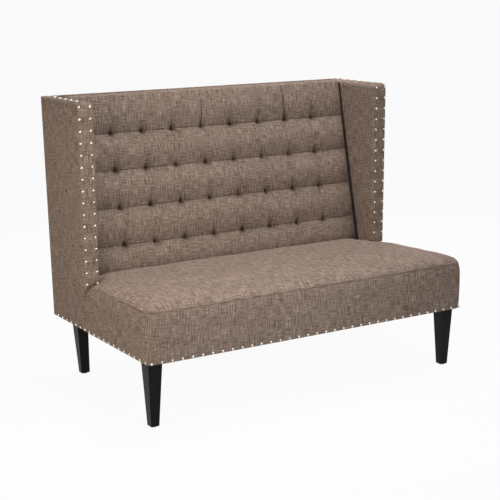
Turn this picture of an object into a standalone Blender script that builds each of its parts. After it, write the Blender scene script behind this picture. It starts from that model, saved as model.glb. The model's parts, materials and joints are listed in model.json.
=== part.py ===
"""Upholstered wing settee with a tufted back, a tight T-shaped seat and four tapered wooden legs.

Metres, +Z up, front towards -Y. The origin is on the floor under the middle of the piece.
"""

import math

import bmesh
import bpy
from mathutils import Matrix, Vector

# Driving dimensions of the whole piece
overall_width = 1.300
overall_height = 1.020
overall_depth = 0.776
body_underside = 0.222
seam_height = 0.390
seat_depth = 0.560
back_lean = 0.016

# Clearance between touching pieces, and how far a cutter runs past what it cuts
fit_gap = 0.0003
cutter_overrun = 0.010
weld_distance = 0.00003

# Padding and covers
padding = 0.010
corner_radius = 0.007
cover_edge_segments = 3
sharp_angle = math.radians(55)
flat_angle = math.radians(1)
outside_back_thickness = 0.006
dust_cover_thickness = 0.0012
dust_cover_inset = 0.012

# Wings
wing_setback = 0.465
wing_thickness = 0.060
wing_edge_radius = 0.009
wing_tuck = 0.022
wing_hole_diameter = 0.110
wing_hole_count = 5

# Seat frame
rail_thickness = 0.020
seam_above_rails = 0.048
centre_rail_thickness = 0.025
centre_rail_height = 0.060
centre_rail_drop = 0.030
corner_block_length = 0.110
corner_block_height = 0.030
corner_block_cut_share = 0.45

# Seat springs, their clip rails and the insulator over them
spring_count = 8
spring_side_margin = 0.0925
spring_width = 0.050
spring_wire = 0.0036
spring_bars = 16
spring_arch = 0.008
clip_sheet = 0.0012
clip_depth = 0.016
clip_hook = 0.0072
clip_play = 0.001
clip_side_margin = 0.015
insulator_thickness = 0.003

# Seat cushion: its crown rises from the seam and falls again towards the back
crown_rise = 0.045
crown_roll = 0.045
crown_rear_share = 0.30
crown_fall_power = 1.5
seat_rim = 0.003

# Tufted back pad
tuft_rows = 4
tuft_columns = 8
tuft_side_margin = 0.150
top_tuft_drop = 0.136
low_tuft_rise = 0.099
pad_top_setback = 0.078
pad_depth = 0.050
puff = 0.016
puff_power = 0.65
tuft_depth = 0.012
tuft_radius = 0.016
crease_share = 0.32
crease_radius = 0.014
side_fade = 0.035
top_roll_depth = 0.040
top_roll_height = 0.040
top_padding = 0.024

# Back frame
post_width = 0.040
top_rail_height = 0.060
bottom_rail_height = 0.050
back_bar_thickness = 0.020
centre_post_width = 0.045
webbing_width = 0.070
webbing_thickness = 0.002
webbing_grip = 0.030

# Legs
front_leg_top = 0.052
front_leg_foot = 0.030
front_leg_side_inset = 0.0155
front_leg_front_inset = 0.028
rear_leg_top_width = 0.044
rear_leg_top_depth = 0.050
rear_leg_foot_width = 0.033
rear_leg_foot_depth = 0.025
rear_leg_side_inset = 0.062
rear_leg_rear_inset = 0.025
leg_edge_bevel = 0.0015
leg_edge_segments = 1

# Leg fixings and glides
bolt_diameter = 0.008
bolt_in_leg = 0.042
bolt_point = 0.008
bolt_stand_out = 0.006
bolt_chamfer = 0.001
tee_nut_flange_diameter = 0.022
tee_nut_flange = 0.0016
tee_nut_barrel_diameter = 0.0115
tee_nut_barrel = 0.012
glide_diameter = 0.022
glide_height = 0.002
glide_pin_diameter = 0.004
glide_pin = 0.012
fixing_sides = 12
glide_sides = 16

# Planes that several pieces share
front_y = -overall_depth / 2
rear_y = overall_depth / 2
side_x = overall_width / 2
wing_front_y = front_y + wing_setback
wing_inner_x = side_x - wing_thickness
wing_tuck_z = seam_height - wing_tuck
rails_bottom = body_underside + fit_gap + dust_cover_thickness + fit_gap
rails_top = seam_height - seam_above_rails
blocks_top = rails_bottom + corner_block_height
bolt_top = blocks_top + fit_gap + tee_nut_flange + bolt_stand_out
rail_outer_x = side_x - padding - fit_gap
rail_inner_x = rail_outer_x - rail_thickness
front_rail_front = front_y + padding + fit_gap
front_rail_rear = front_rail_front + rail_thickness
wing_frame_front = wing_front_y + padding + fit_gap
wing_frame_top = overall_height - padding - fit_gap
wing_frame_outer_x = rail_inner_x - fit_gap
wing_frame_inner_x = wing_inner_x + padding + fit_gap
inside_x = wing_frame_inner_x - fit_gap
post_inner_x = inside_x - post_width
pad_seat_y = front_y + seat_depth
pad_top_y = rear_y - pad_top_setback
back_rake = (pad_top_y - pad_seat_y) / (overall_height - seam_height)
frame_offset = pad_depth + fit_gap + webbing_thickness + fit_gap
spring_rail_rear = pad_seat_y + frame_offset - fit_gap
spring_rail_front = spring_rail_rear - rail_thickness
pad_top_bottom = overall_height - top_padding
top_rail_top = pad_top_bottom - fit_gap
bottom_rail_low = seam_height
bottom_rail_high = bottom_rail_low + bottom_rail_height
clip_height = clip_sheet + spring_wire + clip_play + clip_sheet
spring_end_z = rails_top + fit_gap + clip_sheet + fit_gap + spring_wire / 2
insulator_low = spring_end_z + spring_arch + spring_wire / 2 + fit_gap
cushion_bottom = insulator_low + insulator_thickness + fit_gap
cushion_seam = seam_height + fit_gap
pad_bottom = insulator_low
top_tuft_height = overall_height - top_tuft_drop
low_tuft_height = seam_height + low_tuft_rise
tuft_spacing_z = (top_tuft_height - low_tuft_height) / (tuft_rows - 1)
tuft_spacing_x = 2 * (wing_inner_x - tuft_side_margin) / (tuft_columns - 1)
spring_spacing = 2 * (inside_x - spring_side_margin) / (spring_count - 1)


def rear_face(z):
    """Rear of the piece, which leans back towards the top."""
    return rear_y - back_lean * (overall_height - z) / (overall_height - body_underside)


def rear_inside(z):
    """Where the frame ends, just in front of the outside back."""
    return rear_face(z) - outside_back_thickness - fit_gap


def rear_rail_front(z):
    """Front of the rear rail."""
    return rear_inside(z) - rail_thickness


def pad_line(z):
    """The raked plane in which the tufts and the sewn channels of the back lie."""
    return pad_seat_y + back_rake * (z - seam_height)


def frame_line(z):
    """Front of the back frame, behind the pad and the webbing."""
    return pad_line(z) + frame_offset


def cushion_rear(z):
    """Rear of the seat cushion, just in front of the fullest part of the back pad."""
    return pad_line(z) - puff - fit_gap


# Objects, materials and shapes

def clear_scene():
    for item in list(bpy.data.objects):
        bpy.data.objects.remove(item, do_unlink=True)


def make_collection(name):
    collection = bpy.data.collections.new(name)
    bpy.context.scene.collection.children.link(collection)
    return collection


def make_material(name, colour, roughness, metallic=0.0):
    material = bpy.data.materials.new(name)
    material.use_nodes = True
    shader = material.node_tree.nodes["Principled BSDF"]
    shader.inputs["Base Color"].default_value = (*colour, 1)
    shader.inputs["Roughness"].default_value = roughness
    shader.inputs["Metallic"].default_value = metallic
    return material


clear_scene()
settee = make_collection("wing_settee")
cutters = make_collection("cutters")

cloth = make_material("taupe_cloth", (0.22, 0.16, 0.13), 0.90)
foam = make_material("foam", (0.78, 0.70, 0.48), 0.95)
felt = make_material("grey_felt", (0.25, 0.25, 0.25), 0.95)
pine = make_material("pine", (0.62, 0.43, 0.24), 0.65)
plywood = make_material("plywood", (0.58, 0.42, 0.26), 0.60)
black_wood = make_material("black_wood", (0.012, 0.011, 0.010), 0.35)
zinc = make_material("zinc_steel", (0.55, 0.56, 0.58), 0.35, 1.0)
spring_steel = make_material("spring_steel", (0.10, 0.10, 0.11), 0.40, 1.0)
elastic = make_material("elastic_webbing", (0.05, 0.05, 0.06), 0.85)
dust_cloth = make_material("black_dust_cloth", (0.015, 0.015, 0.015), 0.95)
nylon = make_material("dark_nylon", (0.02, 0.02, 0.02), 0.45)

# Local X, Y and Z of a side outline lie along world Y, Z and X.
SIDE_VIEW = Matrix(((0, 0, 1, 0), (1, 0, 0, 0), (0, 1, 0, 0), (0, 0, 0, 1)))


def add_object(name, mesh, material, collection=settee):
    item = bpy.data.objects.new(name, mesh)
    collection.objects.link(item)
    mesh.materials.clear()
    mesh.materials.append(material)
    return item


def finished_mesh(bm, name):
    """Turn the faces outward and make a mesh of them."""
    bmesh.ops.recalc_face_normals(bm, faces=bm.faces)
    mesh = bpy.data.meshes.new(name)
    bm.to_mesh(mesh)
    bm.free()
    return mesh


def block(name, low, high, material, collection=settee):
    """A box between two opposite corners, with its origin at its middle."""
    low = Vector(low)
    high = Vector(high)
    bm = bmesh.new()
    bmesh.ops.create_cube(bm, size=1)
    bmesh.ops.scale(bm, vec=high - low, verts=bm.verts)
    item = add_object(name, finished_mesh(bm, name), material, collection)
    item.location = (low + high) / 2
    return item


def outline_mesh(name, outline, thickness):
    """A flat outline extruded to both sides of its own plane."""
    curve = bpy.data.curves.new(name, "CURVE")
    curve.dimensions = "2D"
    curve.fill_mode = "BOTH"
    curve.extrude = thickness / 2
    spline = curve.splines.new("POLY")
    spline.points.add(len(outline) - 1)
    for point, place in zip(spline.points, outline):
        point.co = (*place, 0, 1)
    spline.use_cyclic_u = True
    drawn = bpy.data.objects.new(name + "_outline", curve)
    settee.objects.link(drawn)
    depsgraph = bpy.context.evaluated_depsgraph_get()
    bm = bmesh.new()
    bm.from_mesh(bpy.data.meshes.new_from_object(drawn.evaluated_get(depsgraph)))
    bmesh.ops.remove_doubles(bm, verts=bm.verts, dist=weld_distance)
    bpy.data.objects.remove(drawn, do_unlink=True)
    return finished_mesh(bm, name)


def side_outline(name, outline, x_low, x_high, material, collection=settee):
    """An outline of (y, z) places, extruded along X between two places."""
    mesh = outline_mesh(name, outline, x_high - x_low)
    item = add_object(name, mesh, material, collection)
    item.matrix_world = Matrix.Translation(((x_low + x_high) / 2, 0, 0)) @ SIDE_VIEW
    return item


def plan_outline(name, outline, z_low, z_high, material):
    """An outline of (x, y) places, extruded up between two heights."""
    item = add_object(name, outline_mesh(name, outline, z_high - z_low), material)
    item.location.z = (z_low + z_high) / 2
    return item


def raked_bar(name, low, high, offset, thickness, x_half, material):
    """A bar across the back, parallel to the plane of the tufts and a given way behind it."""
    outline = [
        (pad_line(low) + offset, low),
        (pad_line(low) + offset + thickness, low),
        (pad_line(high) + offset + thickness, high),
        (pad_line(high) + offset, high),
    ]
    return side_outline(name, outline, -x_half, x_half, material)


def turned(name, profile, x, y, material, steps):
    """A profile of (radius, height) places, from top to bottom, turned about a vertical axis."""
    edges = [(i, i + 1) for i in range(len(profile) - 1)]
    if profile[0][0] > 0:
        edges.append((len(profile) - 1, 0))
    mesh = bpy.data.meshes.new(name)
    mesh.from_pydata([(radius, 0, height) for radius, height in profile], edges, [])
    item = add_object(name, mesh, material)
    item.location = (x, y, 0)
    screw = item.modifiers.new("turn", "SCREW")
    screw.steps = steps
    screw.render_steps = steps
    screw.use_merge_vertices = True
    screw.merge_threshold = weld_distance
    return item


def round_edges(item, chosen, radius, segments):
    """Round the edges for which chosen(start, end) holds, in the object's own coordinates."""
    bm = bmesh.new()
    bm.from_mesh(item.data)
    edges = [edge for edge in bm.edges if chosen(edge.verts[0].co, edge.verts[1].co)]
    bmesh.ops.bevel(bm, geom=edges, offset=radius, segments=segments, profile=0.5, affect="EDGES")
    bm.to_mesh(item.data)
    bm.free()


def cut(item, cutter):
    cutter.hide_render = True
    cutter.display_type = "WIRE"
    modifier = item.modifiers.new("cut", "BOOLEAN")
    modifier.operation = "DIFFERENCE"
    modifier.object = cutter


def round_cutter(name, centre, diameter, length, sides, across=False):
    """A cylinder centred on a place, upright or along X."""
    bm = bmesh.new()
    bmesh.ops.create_cone(bm, cap_ends=True, segments=sides, radius1=diameter / 2, radius2=diameter / 2,
                          depth=length)
    if across:
        bmesh.ops.rotate(bm, verts=bm.verts, matrix=Matrix.Rotation(math.pi / 2, 3, "Y"))
    item = add_object(name, finished_mesh(bm, name), pine, cutters)
    item.location = centre
    return item


def spread(stops, shares):
    """Places from the first stop to the last, with the given shares of each stretch between stops."""
    places = []
    for start, end in zip(stops, stops[1:]):
        places += [start + share * (end - start) for share in shares]
    return places + [stops[-1]]


def grid_sheet(columns, rows):
    """A grid with a vertex for each column and row; returns it with the vertices by (column, row)."""
    bm = bmesh.new()
    bmesh.ops.create_grid(bm, x_segments=columns - 1, y_segments=rows - 1, size=1)
    by_place = {}
    for vertex in bm.verts:
        column = round((vertex.co.x + 1) / 2 * (columns - 1))
        row = round((vertex.co.y + 1) / 2 * (rows - 1))
        by_place[column, row] = vertex
    return bm, by_place


# Legs, their fixings and their glides

front_leg_x = side_x - front_leg_side_inset - front_leg_top / 2
front_leg_y = front_y + front_leg_front_inset + front_leg_top / 2
rear_leg_x = side_x - rear_leg_side_inset - rear_leg_top_width / 2
rear_leg_y = rear_face(body_underside) - rear_leg_rear_inset - rear_leg_top_depth / 2
leg_places = {
    "front_left": (-front_leg_x, front_leg_y),
    "front_right": (front_leg_x, front_leg_y),
    "rear_left": (-rear_leg_x, rear_leg_y),
    "rear_right": (rear_leg_x, rear_leg_y),
}


def leg(corner, x, y):
    """A square leg: the front pair tapers on four sides, the rear pair on its outer and rear sides only."""
    if corner.startswith("front"):
        top = Vector((front_leg_top, front_leg_top, 0))
        foot = Vector((front_leg_foot, front_leg_foot, 0))
        foot_x = x
        foot_y = y
    else:
        top = Vector((rear_leg_top_width, rear_leg_top_depth, 0))
        foot = Vector((rear_leg_foot_width, rear_leg_foot_depth, 0))
        foot_x = x - math.copysign((top.x - foot.x) / 2, x)
        foot_y = y - (top.y - foot.y) / 2
    foot_z = glide_height + fit_gap
    item = block("leg_" + corner, -top / 2 + Vector((x, y, foot_z)), top / 2 + Vector((x, y, body_underside)),
                 black_wood)
    for vertex in item.data.vertices:
        if vertex.co.z < 0:
            vertex.co.x *= foot.x / top.x
            vertex.co.y *= foot.y / top.y
            vertex.co.x += foot_x - x
            vertex.co.y += foot_y - y
    edge_bevel = item.modifiers.new("eased_edges", "BEVEL")
    edge_bevel.width = leg_edge_bevel
    edge_bevel.segments = leg_edge_segments
    bolt_z = body_underside - bolt_in_leg - fit_gap
    bolt_bore = cutter_overrun + body_underside - bolt_z
    cut(item, round_cutter("bolt_bore_" + corner, (x, y, bolt_z + bolt_bore / 2), bolt_diameter + 2 * fit_gap,
                           bolt_bore, fixing_sides))
    pin_z = glide_height + glide_pin + fit_gap
    pin_bore = cutter_overrun + pin_z
    cut(item, round_cutter("glide_bore_" + corner, (foot_x, foot_y, pin_z - pin_bore / 2),
                           glide_pin_diameter + 2 * fit_gap, pin_bore, fixing_sides))
    glide(corner, foot_x, foot_y)


def glide(corner, x, y):
    """A flat nylon disc with the pin that holds it in the foot of the leg."""
    pin_top = glide_height + glide_pin
    profile = [
        (0, pin_top),
        (glide_pin_diameter / 2, pin_top),
        (glide_pin_diameter / 2, glide_height),
        (glide_diameter / 2, glide_height),
        (glide_diameter / 2, 0),
        (0, 0),
    ]
    turned("glide_" + corner, profile, x, y, nylon, glide_sides)


def hanger_bolt(corner, x, y):
    """A shank that is screwed into the leg below and into the tee nut above."""
    bottom = body_underside - bolt_in_leg
    radius = bolt_diameter / 2
    profile = [
        (0, bolt_top),
        (radius - bolt_chamfer, bolt_top),
        (radius, bolt_top - bolt_chamfer),
        (radius, bottom + bolt_point),
        (0, bottom),
    ]
    turned("hanger_bolt_" + corner, profile, x, y, zinc, fixing_sides)


def tee_nut(corner, x, y):
    """A flanged nut let into the top of the corner block."""
    seat = blocks_top + fit_gap
    bore = bolt_diameter / 2 + fit_gap
    profile = [
        (bore, seat + tee_nut_flange),
        (tee_nut_flange_diameter / 2, seat + tee_nut_flange),
        (tee_nut_flange_diameter / 2, seat),
        (tee_nut_barrel_diameter / 2, seat),
        (tee_nut_barrel_diameter / 2, seat - tee_nut_barrel),
        (bore, seat - tee_nut_barrel),
    ]
    turned("tee_nut_" + corner, profile, x, y, zinc, fixing_sides)


def corner_block(corner, x, y):
    """A block in the corner of the rails, with its inner corner cut off and a hole for the tee nut."""
    outer = math.copysign(rail_inner_x - fit_gap, x)
    inner = outer - math.copysign(corner_block_length, x)
    if corner.startswith("front"):
        near = front_rail_rear + fit_gap
        far = near + corner_block_length
    else:
        near = rear_rail_front(rails_bottom) - fit_gap
        far = spring_rail_rear + fit_gap
    outline = [
        (outer, near),
        (outer, far),
        (inner - corner_block_cut_share * (inner - outer), far),
        (inner, far - corner_block_cut_share * (far - near)),
        (inner, near),
    ]
    item = plan_outline("corner_block_" + corner, outline, rails_bottom, blocks_top, plywood)
    cut(item, round_cutter("tee_nut_hole_" + corner, (x, y, (rails_bottom + blocks_top) / 2),
                           tee_nut_barrel_diameter + 2 * fit_gap, corner_block_height + cutter_overrun,
                           fixing_sides))


# Seat frame

def seat_frame():
    """Rails on edge round the seat, one across it for the springs, and a lower one down its middle."""
    block("front_rail", (-rail_outer_x, front_rail_front, rails_bottom),
          (rail_outer_x, front_rail_rear, rails_top), pine)
    rail_rear = rear_inside(rails_bottom)
    block("side_rail_left", (-rail_outer_x, front_rail_rear + fit_gap, rails_bottom),
          (-rail_inner_x, rail_rear, rails_top), pine)
    block("side_rail_right", (rail_inner_x, front_rail_rear + fit_gap, rails_bottom),
          (rail_outer_x, rail_rear, rails_top), pine)
    block("spring_rail", (-inside_x, spring_rail_front, rails_bottom),
          (inside_x, spring_rail_rear, rails_top), pine)
    centre_top = rails_top - centre_rail_drop
    centre_low = centre_top - centre_rail_height
    block("centre_rail", (-centre_rail_thickness / 2, front_rail_rear + fit_gap, centre_low),
          (centre_rail_thickness / 2, spring_rail_front - fit_gap, centre_top), pine)
    outline = [
        (rear_rail_front(rails_bottom), rails_bottom),
        (rear_inside(rails_bottom), rails_bottom),
        (rear_inside(rails_top), rails_top),
        (rear_rail_front(rails_top), rails_top),
    ]
    side_outline("rear_rail", outline, -inside_x, inside_x, pine)


# Seat springs

clip_margin = (rail_thickness - clip_depth) / 2
front_clip_y = front_rail_front + clip_margin
rear_clip_y = spring_rail_rear - clip_margin
wire_setback = clip_sheet + fit_gap + spring_wire / 2
first_bar_y = front_clip_y + wire_setback
last_bar_y = rear_clip_y - wire_setback


def spring_path(x):
    """Bars across the seat, joined at alternate ends and arched a little; the two halves are mirrored."""
    step = (last_bar_y - first_bar_y) / (spring_bars - 1)
    half_bar = (spring_width - spring_wire - step) / 2
    half_width = (spring_width - spring_wire) / 2
    points = []
    for bar in range(spring_bars):
        end = math.copysign(1, x) * (-1) ** bar
        bar_y = first_bar_y + bar * step
        points.append((x - end * half_bar, bar_y))
        points.append((x + end * half_bar, bar_y))
        if bar < spring_bars - 1:
            points.append((x + end * half_width, bar_y + step / 2))
    span = last_bar_y - first_bar_y
    return [(px, py, spring_end_z + spring_arch * math.sin(math.pi * (py - first_bar_y) / span))
            for px, py in points]


def seat_spring(number, x):
    """A sinuous spring that runs from the front rail to the spring rail."""
    name = "seat_spring_" + str(number)
    curve = bpy.data.curves.new(name, "CURVE")
    curve.dimensions = "3D"
    curve.bevel_depth = spring_wire / 2
    curve.bevel_resolution = 0
    curve.use_fill_caps = True
    points = spring_path(x)
    spline = curve.splines.new("POLY")
    spline.points.add(len(points) - 1)
    for point, place in zip(spline.points, points):
        point.co = (*place, 1)
    item = bpy.data.objects.new(name, curve)
    settee.objects.link(item)
    curve.materials.append(spring_steel)


def clip_rail(name, y, onward):
    """A folded steel strip on top of a rail, whose hook holds the ends of the springs."""
    low = rails_top + fit_gap
    high = low + clip_height
    outline = [
        (y, low),
        (y + onward * clip_depth, low),
        (y + onward * clip_depth, low + clip_sheet),
        (y + onward * clip_sheet, low + clip_sheet),
        (y + onward * clip_sheet, high - clip_sheet),
        (y + onward * clip_hook, high - clip_sheet),
        (y + onward * clip_hook, high),
        (y, high),
    ]
    x_half = (spring_count - 1) / 2 * spring_spacing + spring_width / 2 + clip_side_margin
    side_outline(name, outline, -x_half, x_half, zinc)


def springs():
    """The row of springs, the strips that hold their ends, and the felt pad that lies over them."""
    for number in range(spring_count):
        seat_spring(number + 1, (number - (spring_count - 1) / 2) * spring_spacing)
    clip_rail("clip_rail_front", front_clip_y, 1)
    clip_rail("clip_rail_rear", rear_clip_y, -1)
    insulator_rear = cushion_rear(insulator_low)
    block("insulator_pad", (-inside_x, front_rail_front, insulator_low),
          (inside_x, insulator_rear, insulator_low + insulator_thickness), felt)


# Seat cushion and its border

cushion_side_shares = (0, 0.15, 0.35, 0.65)
cushion_edge_shares = (0, 0.1, 0.25, 0.45, 0.7)
cushion_middle_shares = (0, 0.17, 0.33, 0.5, 0.67, 0.83)
cushion_middle_half_share = 0.65
cushion_front_shares = (0, 0.015, 0.035, 0.065, 0.11, 0.17, 0.25, 0.35, 0.47, 0.6, 0.74, 0.88)
cushion_rear_shares = (0, 0.3, 0.65)


def crown(x, y):
    """Height of the seat above its seam: a quick roll at the front and sides, a slow fall to the back."""
    from_side = side_x - abs(x)
    from_front = y - front_y
    roll = (1 - math.exp(-from_side / crown_roll)) * (1 - math.exp(-from_front / crown_roll))
    depth = cushion_rear(seam_height) - front_y
    fall = 1 - (1 - crown_rear_share) * (from_front / depth) ** crown_fall_power
    return seat_rim + crown_rise * roll * fall


def verts_and_edges(geom):
    """The new vertices and edges of an extrusion."""
    verts = [item for item in geom if isinstance(item, bmesh.types.BMVert)]
    edges = [item for item in geom if isinstance(item, bmesh.types.BMEdge)]
    return verts, edges


def seat_cushion():
    """A T-shaped tight cushion: crowned top, rim over the border, drawn-in sides between the borders."""
    notch_x = wing_inner_x - fit_gap
    ear_rear = wing_front_y - fit_gap
    rear = cushion_rear(seam_height)
    middle_x = notch_x * cushion_middle_half_share
    xs = spread([-side_x, -notch_x], cushion_side_shares)[:-1]
    xs += spread([-notch_x, -middle_x], cushion_edge_shares)[:-1]
    edge_columns = len(xs)
    xs += spread([-middle_x, middle_x], cushion_middle_shares)
    xs += [-x for x in reversed(xs[:edge_columns])]
    ys = spread([front_y, ear_rear], cushion_front_shares)
    ys += spread([ear_rear, rear], cushion_rear_shares)[1:]
    bm, by_place = grid_sheet(len(xs), len(ys))
    for (column, row), vertex in by_place.items():
        x = xs[column]
        y = ys[row]
        vertex.co = (x, y, cushion_seam + crown(x, y))
    notches = []
    for face in bm.faces:
        middle = face.calc_center_median()
        if abs(middle.x) > notch_x and middle.y > ear_rear:
            notches.append(face)
    bmesh.ops.delete(bm, geom=notches, context="FACES")
    rim = bmesh.ops.extrude_edge_only(bm, edges=[edge for edge in bm.edges if edge.is_boundary])
    rim_verts, rim_edges = verts_and_edges(rim["geom"])
    for vertex in rim_verts:
        vertex.co.z = cushion_seam
    inner = bmesh.ops.extrude_edge_only(bm, edges=rim_edges)
    inner_verts, inner_edges = verts_and_edges(inner["geom"])
    tuck = padding + fit_gap
    for vertex in inner_verts:
        vertex.co.x = max(-side_x + tuck, min(side_x - tuck, vertex.co.x))
        vertex.co.y = max(front_y + tuck, vertex.co.y)
    bottom = bmesh.ops.extrude_edge_only(bm, edges=inner_edges)
    bottom_verts, bottom_edges = verts_and_edges(bottom["geom"])
    for vertex in bottom_verts:
        vertex.co.z = cushion_bottom
        vertex.co.y = min(vertex.co.y, cushion_rear(cushion_bottom))
    bmesh.ops.edgeloop_fill(bm, edges=bottom_edges)
    bmesh.ops.remove_doubles(bm, verts=bm.verts, dist=weld_distance)
    item = add_object("seat_cushion", finished_mesh(bm, "seat_cushion"), cloth)
    item.data.shade_smooth()
    item.data.set_sharp_from_angle(angle=sharp_angle)


def seat_border():
    """Padded border below the seam, across the front and along both sides as far as the wings."""
    front = block("seat_border_front", (-side_x, front_y, body_underside),
                  (side_x, front_y + padding, seam_height), cloth)
    round_edges(front, lambda start, end: start.y < 0 and end.y < 0 and start.x * end.x > 0
                and abs(start.z - end.z) > padding, corner_radius, cover_edge_segments)
    low_y = front_y + padding + fit_gap
    high_y = wing_front_y - fit_gap
    block("seat_border_left", (-side_x, low_y, body_underside), (padding - side_x, high_y, seam_height), cloth)
    block("seat_border_right", (side_x - padding, low_y, body_underside), (side_x, high_y, seam_height), cloth)


# Tufted back pad

pad_half_width = wing_inner_x - fit_gap
tuft_xs = [(column - (tuft_columns - 1) / 2) * tuft_spacing_x for column in range(tuft_columns)]
tuft_zs = [low_tuft_height + row * tuft_spacing_z for row in range(tuft_rows)]
roll_start_z = overall_height - top_roll_height
pad_margin_shares = (0, 0.25, 0.6, 0.87)
pad_column_shares = (0, 0.1, 0.3, 0.7, 0.9)
pad_foot_shares = (0, 0.35, 0.7, 0.88)
pad_row_shares = (0, 0.12, 0.5, 0.88)
pad_head_shares = (0, 0.16, 0.5)
roll_steps = 4


def band(z):
    """Share of the full puff at a height: none on a sewn channel, all of it halfway to the next."""
    above = min(z - tuft_zs[0], (tuft_zs[-1] - tuft_zs[0]) + tuft_spacing_z / 2)
    above = max(above, -tuft_spacing_z / 2)
    return abs(math.sin(math.pi * above / tuft_spacing_z)) ** puff_power


def puff_at(x, z):
    """How far the cover stands in front of the plane of the tufts."""
    from_side = pad_half_width - abs(x)
    fullness = band(z) * (1 - math.exp(-from_side / side_fade))
    nearest = min(abs(x - tuft_x) for tuft_x in tuft_xs)
    fullness *= 1 - crease_share * math.exp(-(nearest / crease_radius) ** 2)
    dimple = 0
    for tuft_x in tuft_xs:
        for tuft_z in tuft_zs:
            away = ((x - tuft_x) ** 2 + (z - tuft_z) ** 2) / tuft_radius ** 2
            dimple = max(dimple, math.exp(-away))
    return puff * fullness - tuft_depth * dimple


def pad_rows():
    """Rows of the pad from its foot, up the front and over the top, as pairs of front and rear places.

    A front place is (y, z, share of the puff), a rear place is (y, z).
    """
    heights = spread([pad_bottom, tuft_zs[0]], pad_foot_shares)
    heights += spread(tuft_zs, pad_row_shares)[1:]
    heights += spread([tuft_zs[-1], roll_start_z], pad_head_shares)[1:]
    rows = []
    for z in heights:
        rows.append(((pad_line(z), z, 1), (pad_line(z) + pad_depth, z)))
    top_y = rear_inside(overall_height)
    under_y = rear_inside(pad_top_bottom)
    corner_y = pad_line(pad_top_bottom) + pad_depth
    crest_y = pad_line(roll_start_z) + top_roll_depth
    for step in range(1, roll_steps + 1):
        angle = math.pi / 2 * step / roll_steps
        y = crest_y - top_roll_depth * math.cos(angle)
        z = roll_start_z + top_roll_height * math.sin(angle)
        share = (step - 1) / roll_steps
        rear = (corner_y + share * (under_y - corner_y), pad_top_bottom)
        rows.append(((y, z, math.cos(angle)), rear))
    rows.append(((top_y, overall_height, 0), (under_y, pad_top_bottom)))
    return rows


def back_pad():
    """Foam pad with rows of tufts on sewn channels; its cover rolls over the top rail."""
    rows = pad_rows()
    xs = spread([-pad_half_width, tuft_xs[0]], pad_margin_shares)
    xs += spread(tuft_xs, pad_column_shares)[1:]
    xs += [-x for x in reversed(xs[:len(pad_margin_shares)])]
    bm, by_place = grid_sheet(len(xs), len(rows))
    rear_places = {}
    for (column, row), vertex in by_place.items():
        x = xs[column]
        front, rear = rows[row]
        y, z, share = front
        vertex.co = (x, y - share * puff_at(x, z), z)
        rear_places[tuple(vertex.co)] = (x, *rear)
    sheet = bmesh.ops.extrude_face_region(bm, geom=bm.faces[:])
    rear_verts, rear_edges = verts_and_edges(sheet["geom"])
    for vertex in rear_verts:
        vertex.co = rear_places[tuple(vertex.co)]
    bmesh.ops.dissolve_limit(bm, angle_limit=flat_angle, verts=rear_verts, edges=rear_edges)
    item = add_object("back_pad", finished_mesh(bm, "back_pad"), cloth)
    item.data.shade_smooth()
    item.data.set_sharp_from_angle(angle=sharp_angle)


# Back frame

def back_posts():
    """Tapered posts: raked in front, upright behind, stepped round the rear rail, clear of the bolts below."""
    low = bolt_top + fit_gap
    step = rails_top + fit_gap
    low_rear = rear_rail_front(low) - fit_gap
    outline = [
        (frame_line(seam_height), low),
        (low_rear, low),
        (low_rear, step),
        (rear_inside(step), step),
        (rear_inside(top_rail_top), top_rail_top),
        (frame_line(top_rail_top), top_rail_top),
        (frame_line(seam_height), seam_height),
    ]
    side_outline("back_post_left", outline, -inside_x, -post_inner_x, pine)
    side_outline("back_post_right", outline, post_inner_x, inside_x, pine)


def back_bars():
    """Rails and centre post between the posts, and a strap of webbing behind each row of tufts."""
    between = post_inner_x - fit_gap
    low = top_rail_top - top_rail_height
    outline = [
        (frame_line(low), low),
        (rear_inside(low), low),
        (rear_inside(top_rail_top), top_rail_top),
        (frame_line(top_rail_top), top_rail_top),
    ]
    side_outline("back_top_rail", outline, -between, between, pine)
    raked_bar("back_bottom_rail", bottom_rail_low, bottom_rail_high, frame_offset, back_bar_thickness, between,
              pine)
    raked_bar("back_centre_post", bottom_rail_high + fit_gap, low - fit_gap, frame_offset, back_bar_thickness,
              centre_post_width / 2, pine)
    strap_half = post_inner_x + webbing_grip
    for row, height in enumerate(reversed(tuft_zs)):
        raked_bar("back_webbing_" + str(row + 1), height - webbing_width / 2, height + webbing_width / 2,
                  pad_depth + fit_gap, webbing_thickness, strap_half, elastic)


def outside_back():
    """Cloth over stiff board, across the whole rear from the underside to the top."""
    outline = [
        (rear_face(body_underside) - outside_back_thickness, body_underside),
        (rear_face(body_underside), body_underside),
        (rear_face(overall_height), overall_height),
        (rear_face(overall_height) - outside_back_thickness, overall_height),
    ]
    side_outline("outside_back", outline, -side_x, side_x, cloth)


# Wings

def at_side(side, near, far):
    """Low and high X of a stretch beside the middle; side is -1 on the left and 1 on the right."""
    return sorted((side * near, side * far))


def side_panel(name, side, low, x_near, x_far, front, top, material):
    """A panel beside the seat, from a front edge to the outside back."""
    outline = [
        (front, low),
        (rear_inside(low), low),
        (rear_inside(top), top),
        (front, top),
    ]
    x_low, x_high = at_side(side, x_near, x_far)
    return side_outline(name, outline, x_low, x_high, material)


def wing_frame(label, side):
    """Plywood panel with a column of lightening holes, glued to the inside of the side rail."""
    low = blocks_top + fit_gap
    item = side_panel("wing_frame_" + label, side, low, wing_frame_inner_x, wing_frame_outer_x,
                      wing_frame_front, wing_frame_top, plywood)
    spacing = (wing_frame_top - low) / wing_hole_count
    for number in range(wing_hole_count):
        z = low + spacing / 2 + number * spacing
        y = (wing_frame_front + rear_inside(z)) / 2
        x = side * (wing_frame_inner_x + wing_frame_outer_x) / 2
        cut(item, round_cutter("wing_hole_" + label + "_" + str(number + 1), (x, y, z), wing_hole_diameter,
                               rail_thickness + cutter_overrun, glide_sides, across=True))


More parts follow.
